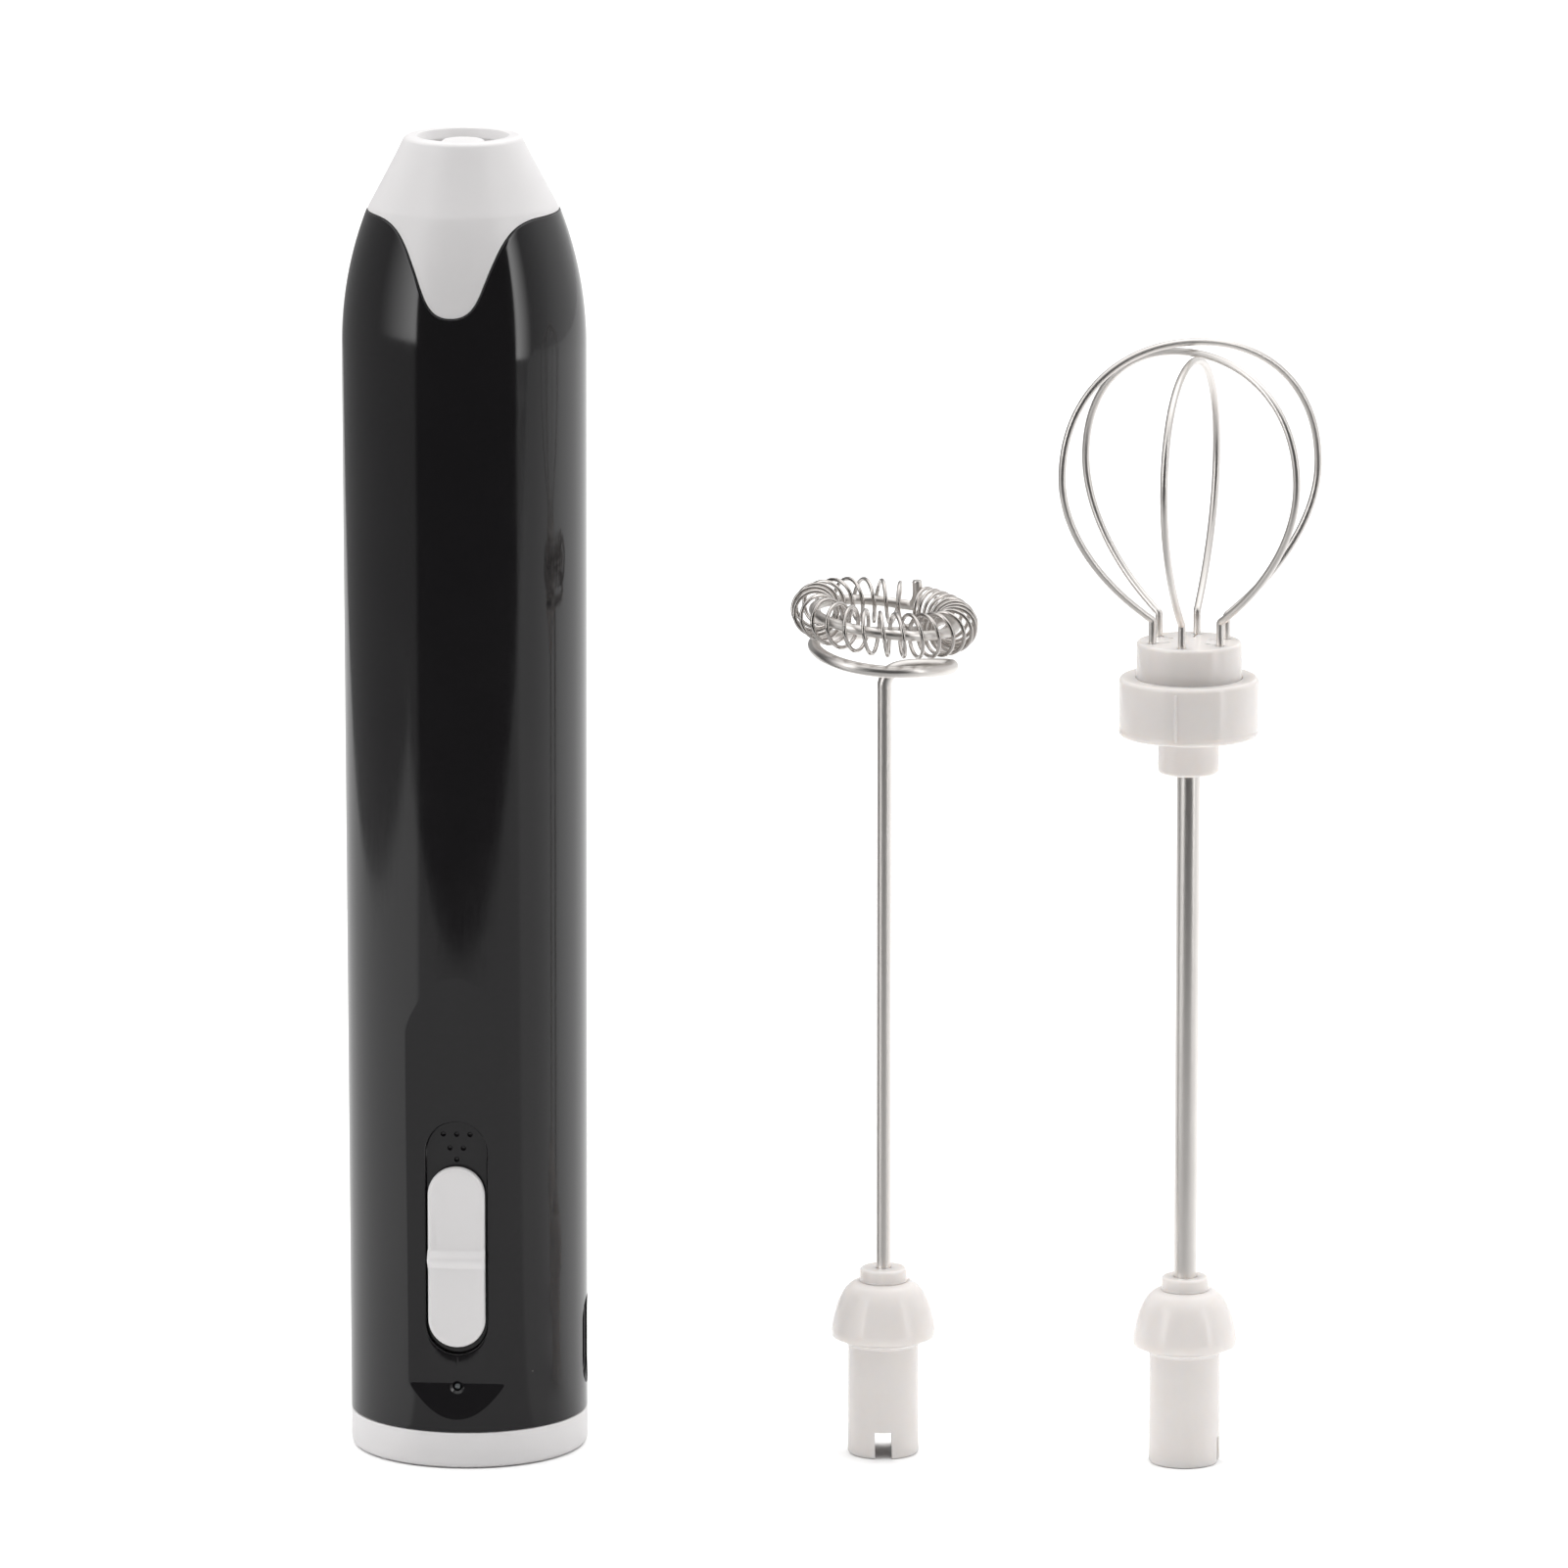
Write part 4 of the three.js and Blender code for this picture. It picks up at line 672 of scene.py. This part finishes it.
def dot_pits():
    """The small round pits with dished floors that count the speeds, all in one shape."""
    mouth_r = DOT_R * 1.12
    outline = [(0, -0.28), (DOT_R * 0.7, -0.22), (DOT_R, -0.08), (mouth_r, 0.02), (mouth_r, 0.5), (0, 0.5)]
    pits = bmesh.new()
    for below, count in DOT_ROWS:
        for k in range(count):
            x = (k - (count - 1) / 2) * DOT_PITCH
            pit = facing_front(turned(outline, 20), x, RECESS_Y, RECESS_HIGH - below)
            mesh = bpy.data.meshes.new("pit")
            pit.to_mesh(mesh)
            pit.free()
            pits.from_mesh(mesh)
            bpy.data.meshes.remove(mesh)
    return pits


def led_hole():
    """The charging light's hole, with a flared ring round it."""
    outline = [(0, -4), (0.6, -4), (0.6, -0.28), (0.75, -0.16), (0.95, 0.0), (1.05, 1.2), (0, 1.2)]
    return facing_front(turned(outline, 32), 0, PANEL_Y - 0.13, LED_Z)


def port_cut():
    """The charging socket's opening and the dish round it, drawn facing the front."""
    half_h, half_w = PORT_H / 2, PORT_W / 2
    dish = pill_sections(2 * (half_w + 1.5), PORT_Z - half_h - 2.1, PORT_Z + half_h + 2.1,
                         [(-FOOT_R - 3, 1.0), (-FOOT_R + 0.43, 0.0), (-FOOT_R + 0.5, -0.25)])
    hole = pill_sections(2 * (half_w + 0.65), PORT_Z - half_h - 0.45, PORT_Z + half_h + 0.45,
                         [(-FOOT_R - 3.2, 0.25), (-FOOT_R + 0.45, 0.2), (-FOOT_R + 0.6, 0.0),
                          (-FOOT_R + 5, 0.0)])
    cut = as_object("port_cut", lofted(dish))
    carve(cut, lofted(hole), "UNION")
    bm = bmesh.new()
    bm.from_mesh(cut.data)
    bpy.data.objects.remove(cut)
    return bm


def pill_sections(width, low, high, depths):
    return [pill(width, low, high, y, grow) for y, grow in depths]


def nose():
    """The white nose: a cone with the whisk's socket, and a tongue front and back in the casing's cuts."""
    edge = SEAM_EDGE
    barrel = SOCKET_R + 1.6
    floor = SOCKET_FLOOR
    below_floor = floor - 2.0
    hollow = CONE_Z + 2.2
    skirt_low = NOSE_LOW.z
    rim = rounded([(casing_radius(CONE_Z + 1) - CONE_PLAIN, CONE_Z + 1, 0), (RIM_R, RIM_Z, 1.0),
                   (SOCKET_R + 0.65, RIM_Z, 0.2), (SOCKET_R, RIM_Z - 1.2, 0.5), (SOCKET_R, floor, 0.4),
                   (1.6, floor, 0.1), (1.6, below_floor, 0)], 8)[1:]
    inside = [(4.3, below_floor), (4.3, below_floor - 2.6), (barrel, below_floor - 2.6), (barrel, hollow)]
    skirt_bend = SHOULDER_Z + 6
    skirt = [(casing_radius(z) - 3.4, z) for z in (hollow, CONE_Z, SHOULDER_Z + 12, skirt_bend, skirt_low)]
    skirt += [(casing_radius(z) - 2.2, z) for z in (skirt_low, skirt_bend)]
    cone_levels = [CONE_Z + 0.25 * k for k in range(5)] + [CONE_Z + 1 + 0.9 * k for k in range(1, 7)]
    rise = [(share, 0, 0) for share in levels(0, 1, 1 / 36)]
    start = [(0, below, into) for below, into in reversed(round_over(edge))]
    seam_rows = [(0, 0, 2.2), (0, 0, 0.6)] + start + rise[1:]
    fixed = [(casing_radius(z) - CONE_PLAIN, z) for z in cone_levels]
    fixed += [tuple(p) for p in rim] + inside + skirt

    def place(column, row):
        seam, steep = SEAMS[column]
        low = seam + SEAM_GAP / 2 * steep
        if row < len(seam_rows):
            share, below, into = seam_rows[row]
            z = low + (CONE_Z - low - edge * steep) * share + below * steep
            if share > 0:
                z = low + edge * steep + (CONE_Z - low - edge * steep) * share
            r = casing_radius(z) - CONE_PLAIN - into
        else:
            r, z = fixed[row - len(seam_rows)]
        return Vector((r * math.sin(ANGLES[column]), -r * math.cos(ANGLES[column]), z))

    piece = wrapped("nose", len(seam_rows) + len(fixed), place)
    return finish_piece(piece, WHITE, "handle", "nose_cone", 35)


def base_cap():
    """The white cup that closes the casing's foot."""
    inner = FOOT_R - WALL - 2.5
    outline = rounded([(0, 0, 0), (FOOT_R - 2.4, 0, 0.5), (FOOT_R - 2.1, 0.25, 0.2), (FOOT_R - 1.6, 0.0, 0.5),
                       (FOOT_R, 0, 0.9), (FOOT_R, CAP_TOP, 0.18), (FOOT_R - WALL - GAP, CAP_TOP, 0),
                       (FOOT_R - WALL - GAP, CAP_HIGH.z, 0.3), (inner, CAP_HIGH.z, 0.3), (inner, 2, 0.8),
                       (0, 2, 0)], 6)
    piece = as_object("foot_cap", turned(outline, 192))
    carve(piece, box_shape((-FOOT_R, -2 * FOOT_R, CAP_TOP), (FOOT_R, -12.1, CAP_HIGH.z + 1)))
    return finish_piece(piece, WHITE, "handle", "base_cap")


# ---- thumb slide, light and socket -----------------------------------------------------------------


def thumb_slide():
    """The white slide: a pill with soft edges and a grip rib, and the stem that moves the switch."""
    back = RECESS_Y - GAP
    front = back - 1.2
    low, high = KNOB_LOW.z, KNOB_HIGH.z
    width = KNOB_HIGH.x - KNOB_LOW.x
    profile = [(back, -0.2), (back - 0.2, 0.0), (front + 0.45, 0.0), (front + 0.25, -0.05),
               (front + 0.1, -0.17), (front + 0.02, -0.33), (front, -0.5), (front + 0.03, -0.8),
               (front + 0.07, -1.2)]
    piece = as_object("thumb_slide", lofted(pill_sections(width, low, high, profile)))
    rib = []
    half = width / 2
    for x, size in ((-half - 0.02, 0.75), (-half + 0.15, 0.95), (-half + 0.5, 1.0), (half - 0.5, 1.0),
                    (half - 0.15, 0.95), (half + 0.02, 0.75)):
        section = [Vector((x, back - 0.3, RIB_Z + 1.5 * size)), Vector((x, back - 0.3, RIB_Z - 1.5 * size))]
        for k in range(17):
            t = k / 8 - 1
            rise = (0.5 + 0.5 * math.cos(math.pi * t)) ** 0.8
            section.append(Vector((x, front + 0.12 - (0.92 * rise) * size, RIB_Z + 1.5 * t * size)))
        rib.append(section)
    carve(piece, lofted(rib), "UNION")
    stem_back = span("switch_housing")[0].y - GAP
    stem = (span("switch_lever")[1].z - span("switch_lever")[0].z) / 2 + 2 * GAP + 1.3
    carve(piece, box_shape((-1.2, back - 0.3, RIB_Z - stem + GAP),
                           (1.2, stem_back, RIB_Z + stem - GAP)), "UNION")
    carve(piece, box_shape((-2, back, RIB_Z - 1.0), (2, stem_back + 1, RIB_Z + 1.0)))
    return finish_piece(piece, WHITE, "thumb_slide", "switch_knob", 40)


def light_pipe():
    """The clear rod that carries the charging light to the hole, with a domed end."""
    back = span("light_pipe")[1].y
    length = back - PANEL_Y - 0.25
    outline = rounded([(0, 0, 0), (0.9, 0, 0.1), (0.9, 0.5, 0.1), (0.45, 0.5, 0.05), (0.45, length, 0.3),
                       (0, length + 0.05, 0)], 6)
    piece = as_object("light_lens", facing_front(turned(outline, 32), 0, back, LED_Z))
    return finish_piece(piece, CLEAR, "handle", "light_pipe")


def charging_socket():
    """The drawn steel shell of the charging socket, with its contact tongue."""
    low, high = PORT_Z - PORT_H / 2, PORT_Z + PORT_H / 2
    outer = [(-PORT_BACK, -0.1), (-PORT_BACK - 0.1, 0.0), (-PORT_FRONT + 0.12, 0.0), (-PORT_FRONT, -0.1)]
    piece = as_object("charging_socket", lofted(pill_sections(PORT_W, low, high, outer)))
    mouth = [(-PORT_BACK - 0.8, -0.3), (-PORT_FRONT + 0.15, -0.3), (-PORT_FRONT - 0.2, -0.1)]
    carve(piece, lofted(pill_sections(PORT_W, low, high, mouth)))
    tongue = [(-PORT_BACK - 0.5, 0.0), (-PORT_FRONT + 0.9, 0.0), (-PORT_FRONT + 0.8, -0.1)]
    carve(piece, lofted(pill_sections(0.7, PORT_Z - 2.6, PORT_Z + 2.6, tongue)), "UNION")
    piece.data.transform(Matrix.Rotation(math.pi / 2, 4, "Z"))
    return finish_piece(piece, NICKEL, "handle", "charge_port")


def drive_spindle():
    """The white spindle in the nose's socket, with the two ribs at its root that turn a whisk."""
    radius = SHANK_R - 1.7
    low, tip = SPINDLE_LOW.z, SPINDLE_HIGH.z
    bore = 1.3
    outline = rounded([(bore, low, 0), (radius, low, 0.1), (radius, tip, 0.7), (0, tip, 0),
                       (0, low + 11.3, 0), (bore, low + 11.3, 0)], 8)
    piece = as_object("spindle", turned(outline, 64))
    reach = SHANK_R - 0.1
    for side in (-1, 1):
        inner, outer = sorted((side * (bore + 0.5), side * reach))
        ribs = box_shape((-0.85, inner, low + 0.01), (0.85, outer, low + 3.2))
        carve(piece, ease_edges(ribs, 0.2), "UNION")
    return finish_piece(piece, WHITE, "rotor", "drive_spindle")


# ---- slip-on whisks --------------------------------------------------------------------------------


def coupler(name, at, angle, rod, body, node):
    """The milky plug that slips into the handle: hollow shank, domed flange and a collar round the rod."""
    shank_h, widest, dome_top = 15.0, 17.0, 23.2
    bore, neck = SHANK_R - 1.55, ROD_R + GAP + 1.3
    crown = SHANK_R + 2.2
    outline = rounded([(0, 16, 0), (bore, 16, 0.3), (bore, 0, 0.25), (SHANK_R + 0.02, 0, 0.35),
                       (SHANK_R, 1.2, 0.4), (SHANK_R - 0.02, shank_h - 0.1, 0.55),
                       (crown - 0.55, shank_h + 0.45, 0.25)], 5)
    outline.append(Vector((crown - 0.12, shank_h + 0.85)))
    for k in range(1, 23):
        a = math.pi / 2 * k / 22
        flare = 1 - 0.05 * math.sin(2 * a)
        outline.append(Vector((neck + (crown - neck) * math.cos(a) * flare + 0.02,
                               widest - 0.9 + (dome_top - widest + 0.9) * math.sin(a))))
    outline += rounded([(neck + 0.1, dome_top + 0.1, 0), (neck, dome_top + 0.3, 0.2),
                        (neck, COUPLER_TOP, 0.4),
                        (rod + 0.04, COUPLER_TOP - 0.02, 0.1), (rod + 0.04, 17.6, 0), (0, 17.6, 0)], 5)
    piece = as_object(name, turned(outline, 96))
    carve(piece, box_shape((-1.1, -2 * SHANK_R, -1), (1.1, 2 * SHANK_R, 3.6)))
    piece.data.transform(stand(angle, *at))
    return finish_piece(piece, MILKY, body, node, 40)


RING_R = 9.2
RING_Z = 111.95
RING_WIRE_R = 0.68                       # the wire is drawn down from its spoke on
COIL_R = 2.75
LOWER_Z = 106.49                         # the open turn under the ring
SPOKE_Z = LOWER_Z - 1.1
LOWER_TURN = ((-28, -0.5), (-60, -0.1), (-90, 0.1), (-120, 0.6), (-150, 1.3), (-180, 1.9),
              (-215, 1.8), (-255, 1.7), (-288, 1.8), (-305, 2.4), (-320, 3.9))


def ring_point(degrees, lift=0.0):
    """A point on the frother's ring, which stands a little lower on its right."""
    a = math.radians(degrees)
    return Vector((RING_R * math.cos(a), RING_R * math.sin(a),
                   RING_Z - 1.05 * math.cos(a) + 0.4 * math.sin(a) + lift))


def placed(points, at, angle):
    """Points drawn about a whisk's own axis, moved to where it stands."""
    matrix = stand(angle, *at)
    return [matrix @ Vector(p) for p in points]


def frother_wire():
    """One wire: a straight shaft, a spoke to the right, an open turn, then the ring and its upturned end."""
    seat, bend, last = 17.9, 2.3, -658
    shaft = [(0, 0, seat + (SPOKE_Z - bend - seat) * k / 10) for k in range(10)]
    shaft += [(0, 0, SPOKE_Z - bend - 0.6), (0, 0, SPOKE_Z - bend)]
    points = shaft + [(bend * 0.3, 0, SPOKE_Z - bend * 0.3), (bend, 0, SPOKE_Z),
                      (RING_R - 2.8, -0.1, SPOKE_Z + 0.3), (RING_R - 0.5, -1.3, SPOKE_Z + 0.5)]
    for degrees, rise in LOWER_TURN:
        a = math.radians(degrees)
        points.append((RING_R * math.cos(a), RING_R * math.sin(a), LOWER_Z + rise))
    points += [ring_point(degrees) for degrees in range(-338, last, -24)]
    points += [ring_point(last + 4, 0.1), ring_point(last, 1.2), ring_point(last, 3.6)]
    path = placed(smooth_path(points, 0.35), FROTHER_AT, FROTHER_TURN)
    spoke_start = SPOKE_Z - seat
    spoke_taper, turn_start, turn_taper = 9, 45, 20

    def thickness(along):
        """Full thickness up to the spoke, part of the way down after it, and the ring's from the ring on."""
        past_spoke = min(max((along - spoke_start) / spoke_taper, 0), 1)
        past_turn = min(max((along - spoke_start - turn_start) / turn_taper, 0), 1)
        return 1 - (past_spoke + past_turn) * 0.5 * (1 - RING_WIRE_R / WIRE_R)

    piece = wire("frother_wire", path, WIRE_R, 20, thickness=thickness)
    return finish_piece(piece, STEEL, "frother", "frother_shaft", 50)


def frother_spring():
    """The fine spring threaded on the ring. Its turns crowd together where it starts."""
    turns, start, sweep, per_turn = 29, 55, 349, 44
    path = []
    for k in range(turns * per_turn + 1):
        t = k / (turns * per_turn)
        degrees = start - sweep * t**1.2
        around = TAU * turns * t
        out = Vector((math.cos(math.radians(degrees)), math.sin(math.radians(degrees)), 0))
        path.append(ring_point(degrees, COIL_R * math.sin(around)) + out * (COIL_R * math.cos(around)))
    piece = wire("frother_spring", placed(path, FROTHER_AT, FROTHER_TURN), 0.27, 12)
    return finish_piece(piece, SPRING, "frother", "frother_coil", 60)


HUB_LOW, HUB_HIGH = span("whisk_hub")
PLUG_TOP = span("whisk_plug")[1].z
HUB_R = (HUB_HIGH.x - HUB_LOW.x) / 2
PLUG_R = (span("whisk_plug")[1].x - span("whisk_plug")[0].x) / 2
LOOP_WIRE_R = 0.5
LOOP_FOOT_R = 5.1
LOOP_R = 17.6
LOOPS = (("whisk_loop_outer", 23), ("whisk_loop_middle", 144), ("whisk_loop_inner", 82))


def whisk_rod():
    """The straight rod of the balloon whisk."""
    low, high = span("whisk_shaft")
    outline = rounded([(0, low.z, 0), (ROD_R, low.z, 0.3), (ROD_R, high.z, 0.3), (0, high.z, 0)])
    piece = as_object("whisk_rod", turn(turned(outline, 48), 0, *WHISK_AT))
    return finish_piece(piece, STEEL, "whisk", "whisk_shaft")


def hub():
    """The whisk's hub: a boss on the rod and a wide ring with a cup, marked by its mould's parting line."""
    step = HUB_LOW.z + 5.1
    cup_r = PLUG_R + 0.06
    cup_floor = HUB_HIGH.z - 3.1
    outline = rounded([(ROD_R + 0.04, HUB_LOW.z, 0.1), (4.0, HUB_LOW.z, 0.5), (4.0, step + 0.1, 0.15),
                       (HUB_R - 0.1, step, 0.3), (HUB_R, step + 0.45, 0.15), (HUB_R - 0.12, step + 0.9, 0.3),
                       (HUB_R - 0.08, HUB_HIGH.z, 0.55), (cup_r, HUB_HIGH.z, 0.15), (cup_r, cup_floor, 0.1),
                       (0, cup_floor, 0), (0, cup_floor - 1, 0), (ROD_R + 0.04, cup_floor - 1, 0)], 5)
    piece = as_object("hub", turned(outline, 128))
    for degrees in (-98, 82):
        line = box_shape((HUB_R - 0.6, -0.22, step + 0.55), (HUB_R + 0.06, 0.22, HUB_HIGH.z - 0.75))
        carve(piece, turn(ease_edges(line, 0.12), degrees), "UNION")
    piece.data.transform(Matrix.Translation((*WHISK_AT, 0)))
    return finish_piece(piece, MILKY, "whisk", "whisk_hub", 40)


def plug():
    """The plug that grips the six wire ends, with a short slot beside each hole."""
    low = span("whisk_plug")[0].z
    outline = rounded([(0, low, 0), (PLUG_R, low, 0.2), (PLUG_R, PLUG_TOP, 0.45), (0, PLUG_TOP, 0)], 6)
    piece = as_object("wire_plug", turned(outline, 96))
    for _, angle in LOOPS:
        for degrees in (angle, angle + 180):
            hole = bmesh.new()
            bmesh.ops.create_cone(hole, cap_ends=True, segments=20, radius1=LOOP_WIRE_R + 0.06,
                                  radius2=LOOP_WIRE_R + 0.12, depth=6.6,
                                  matrix=Matrix.Translation((LOOP_FOOT_R, 0, PLUG_TOP - 2.7)))
            carve(piece, turn(hole, degrees))
            groove = box_shape((LOOP_FOOT_R - 2.4, -0.18, PLUG_TOP - 1.0),
                               (LOOP_FOOT_R - LOOP_WIRE_R, 0.18, PLUG_TOP + 1))
            carve(piece, turn(groove, degrees))
    piece.data.transform(Matrix.Translation((*WHISK_AT, 0)))
    return finish_piece(piece, MILKY, "whisk", "whisk_plug", 40)


def loop_half(side, height):
    """Half of a balloon wire, from its foot in the plug to the crown, in its own plane."""
    kink_h, widest = 2.8, 22.4

    def at(u, h):
        return Vector((side * u, 0, PLUG_TOP + h))

    kink = (LOOP_FOOT_R + 1.5, kink_h + 1.4)
    points = [at(LOOP_FOOT_R, -5.6 + 8.4 * k / 10) for k in range(10)]
    points += geometry.interpolate_bezier(at(LOOP_FOOT_R, kink_h), at(LOOP_FOOT_R, kink_h + 0.5),
                                          at(LOOP_FOOT_R + 0.4, kink_h + 0.4), at(*kink), 8)
    points += geometry.interpolate_bezier(at(*kink), at(0.66 * LOOP_R, kink_h + 5.2),
                                          at(LOOP_R, widest - 7.5), at(LOOP_R, widest), 48)[1:]
    points += geometry.interpolate_bezier(at(LOOP_R, widest), at(LOOP_R, widest + 0.6 * (height - widest)),
                                          at(0.6 * LOOP_R, height), at(0, height), 48)[1:]
    return points


def balloon_loop(node, angle):
    """One bent wire of the balloon."""
    height = span(node)[1].z - PLUG_TOP - LOOP_WIRE_R
    path = loop_half(1, height) + loop_half(-1, height)[-2::-1]
    piece = wire(node + "_wire", placed(path, WHISK_AT, angle), LOOP_WIRE_R, 16)
    return finish_piece(piece, STEEL, "whisk", node, 50)


# ---- the stage -------------------------------------------------------------------------------------


def calc(tree, operation, a, b):
    """Arithmetic on two values, either of which may be a number."""
    settings = {"operation": operation}
    links = {}
    for i, value in enumerate((a, b)):
        (settings if isinstance(value, (int, float)) else links)[i] = value
    return add(tree, "ShaderNodeMath", settings, links).outputs[0]


def mix_values(tree, factor, a, b):
    """Goes from a to b as the factor goes from 0 to 1."""
    return calc(tree, "ADD", calc(tree, "MULTIPLY", calc(tree, "SUBTRACT", 1.0, factor), a),
                calc(tree, "MULTIPLY", factor, b))


def bearing(tree, where):
    """Height, and angle from straight ahead (towards the right), of a direction or a place."""
    axes = add(tree, "ShaderNodeSeparateXYZ", links={0: where}).outputs
    return axes["Z"], calc(tree, "ARCTAN2", axes["X"], calc(tree, "MULTIPLY", axes["Y"], -1.0))


DIM_LEFT, DIM_RIGHT = math.radians(-40), math.radians(57)     # the room is dim in gloss between these
FLOOR_LEFT, FLOOR_RIGHT = -0.37, 1.2     # in metres
FLOOR_FRONT, FLOOR_BACK = -0.32, 6.0


def by_side(tree, angle, ahead, left, right, far_right):
    """A brightness ahead, to the left and to the right, with a firm change at both ends of the dim sector."""
    to_left = ramp(tree, angle, DIM_LEFT - 0.05, DIM_LEFT + 0.03, left - ahead, 0)
    to_right = ramp(tree, angle, DIM_RIGHT - 0.04, DIM_RIGHT + 0.04, 0, right - ahead)
    beyond = ramp(tree, angle, DIM_RIGHT + 0.2, DIM_RIGHT + 1.0, 0, far_right - right)
    return calc(tree, "ADD", calc(tree, "ADD", to_left, to_right), calc(tree, "ADD", beyond, ahead))


def floor():
    """A plain pale floor that runs past the picture. It ends some way in front and to the left, which shows
    only in the gloss of the pieces. In gloss its colour is also painted dimmer ahead than at the sides:
    painted shade, seen only in reflections."""
    bm = bmesh.new()
    bmesh.ops.create_grid(bm, x_segments=1, y_segments=1, size=1)
    for vert in bm.verts:
        vert.co.x = FLOOR_LEFT if vert.co.x < 0 else FLOOR_RIGHT
        vert.co.y = FLOOR_FRONT if vert.co.y < 0 else FLOOR_BACK
    ground = as_object("floor", bm)
    material, tree, where = start_material("matt_white_card")
    fibre = noise(tree, where, 4, 2.0)
    card = blend_colours(tree, fibre, "#fcfcfc", "#fefefe")
    in_gloss = add(tree, "ShaderNodeLightPath").outputs["Is Glossy Ray"]
    _, angle = bearing(tree, where)
    # painted shade: for glossy rays only, the card's colour is darkened ahead and left lighter to the left
    # and right
    shade = mix_values(tree, in_gloss, 1.0, by_side(tree, angle, 0.35, 0.64, 0.47, 0.8))
    tone = add(tree, "ShaderNodeVectorMath", {"operation": "SCALE"}, {0: card, "Scale": shade}).outputs[0]
    end_material(tree, {"Specular IOR Level": 0.0},
                 {"Base Color": tone, "Roughness": spread(tree, fibre, 0.9, 1.0)})
    ground.data.materials.append(material)


def studio_light():
    """Even white light from all round, less of it from the front. In gloss the room is dim, with an upright
    soft box on each side: each is brightest along the edge of the dim sector and fades away from it."""
    world = bpy.data.worlds.new("studio")
    scene.world = world
    world.use_nodes = True
    tree = world.node_tree
    tree.nodes.clear()
    height, angle = bearing(tree, add(tree, "ShaderNodeTexCoord").outputs["Generated"])
    even = by_side(tree, angle, 0.1, 1.05, 1.05, 0.97)
    overhead = ramp(tree, height, 0.55, 0.9, 0, 1)
    room = by_side(tree, angle, 0.04, 0.3, 0.42, 0.85)
    left = calc(tree, "POWER", ramp(tree, angle, DIM_LEFT - 0.75, DIM_LEFT, 0, 1, "LINEAR"), 1.5)
    left = calc(tree, "MULTIPLY", left, ramp(tree, angle, DIM_LEFT, DIM_LEFT + 0.025, 3.0, 0))
    left = calc(tree, "MULTIPLY", left, ramp(tree, height, -0.075, -0.055, 0, 1))
    right = calc(tree, "POWER", ramp(tree, angle, DIM_RIGHT + 0.04, DIM_RIGHT + 0.28, 1, 0, "LINEAR"), 1.2)
    right = calc(tree, "MULTIPLY", right, ramp(tree, angle, DIM_RIGHT - 0.03, DIM_RIGHT, 0, 3.2))
    right = calc(tree, "MULTIPLY", right, ramp(tree, height, -0.165, -0.145, 0, 1))
    boxes = calc(tree, "MULTIPLY", calc(tree, "ADD", left, right), ramp(tree, height, 0.6, 0.75, 1, 0))
    path = add(tree, "ShaderNodeLightPath").outputs
    lit = mix_values(tree, path["Is Glossy Ray"], even, calc(tree, "ADD", room, boxes))
    lit = calc(tree, "ADD", lit, overhead)
    shown = mix_values(tree, path["Is Camera Ray"], lit, 1.0)
    light = add(tree, "ShaderNodeBackground", {"Color": (1, 1, 1, 1)}, {"Strength": shown})
    add(tree, "ShaderNodeOutputWorld", links={"Surface": light.outputs[0]})


def area_light(name, place, target, size, power):
    data = bpy.data.lights.new(name, "AREA")
    data.shape = "RECTANGLE"
    data.size, data.size_y = size
    data.energy = power
    lamp = bpy.data.objects.new(name, data)
    scene.collection.objects.link(lamp)
    lamp.location = place
    lamp.rotation_euler = (Vector(target) - Vector(place)).to_track_quat("-Z", "Y").to_euler()
    lamp.visible_glossy = False
    return lamp


def camera():
    data = bpy.data.cameras.new("camera")
    data.sensor_width = 36
    data.lens = 286.4
    data.clip_start = 0.1
    data.clip_end = 50
    viewer = bpy.data.objects.new("camera", data)
    scene.collection.objects.link(viewer)
    viewer.location = (0.1811, -1.5902, 0.4197)
    viewer.rotation_euler = (math.radians(90 - 11.693), 0, math.radians(5.008))
    scene.camera = viewer


camera()
floor()
studio_light()
area_light("ceiling", (0.05, 0.15, 1.3), (0.05, 0, 0), (1.6, 1.4), 9)
scene.view_settings.view_transform = "Standard"

casing()
nose()
base_cap()
thumb_slide()
light_pipe()
charging_socket()
drive_spindle()
coupler("frother_plug_in", FROTHER_AT, FROTHER_TURN, WIRE_R, "frother", "frother_coupler")
coupler("whisk_plug_in", WHISK_AT, WHISK_TURN, ROD_R, "whisk", "whisk_coupler")
frother_wire()
frother_spring()
whisk_rod()
hub()
plug()
for loop_node, loop_angle in LOOPS:
    balloon_loop(loop_node, loop_angle)
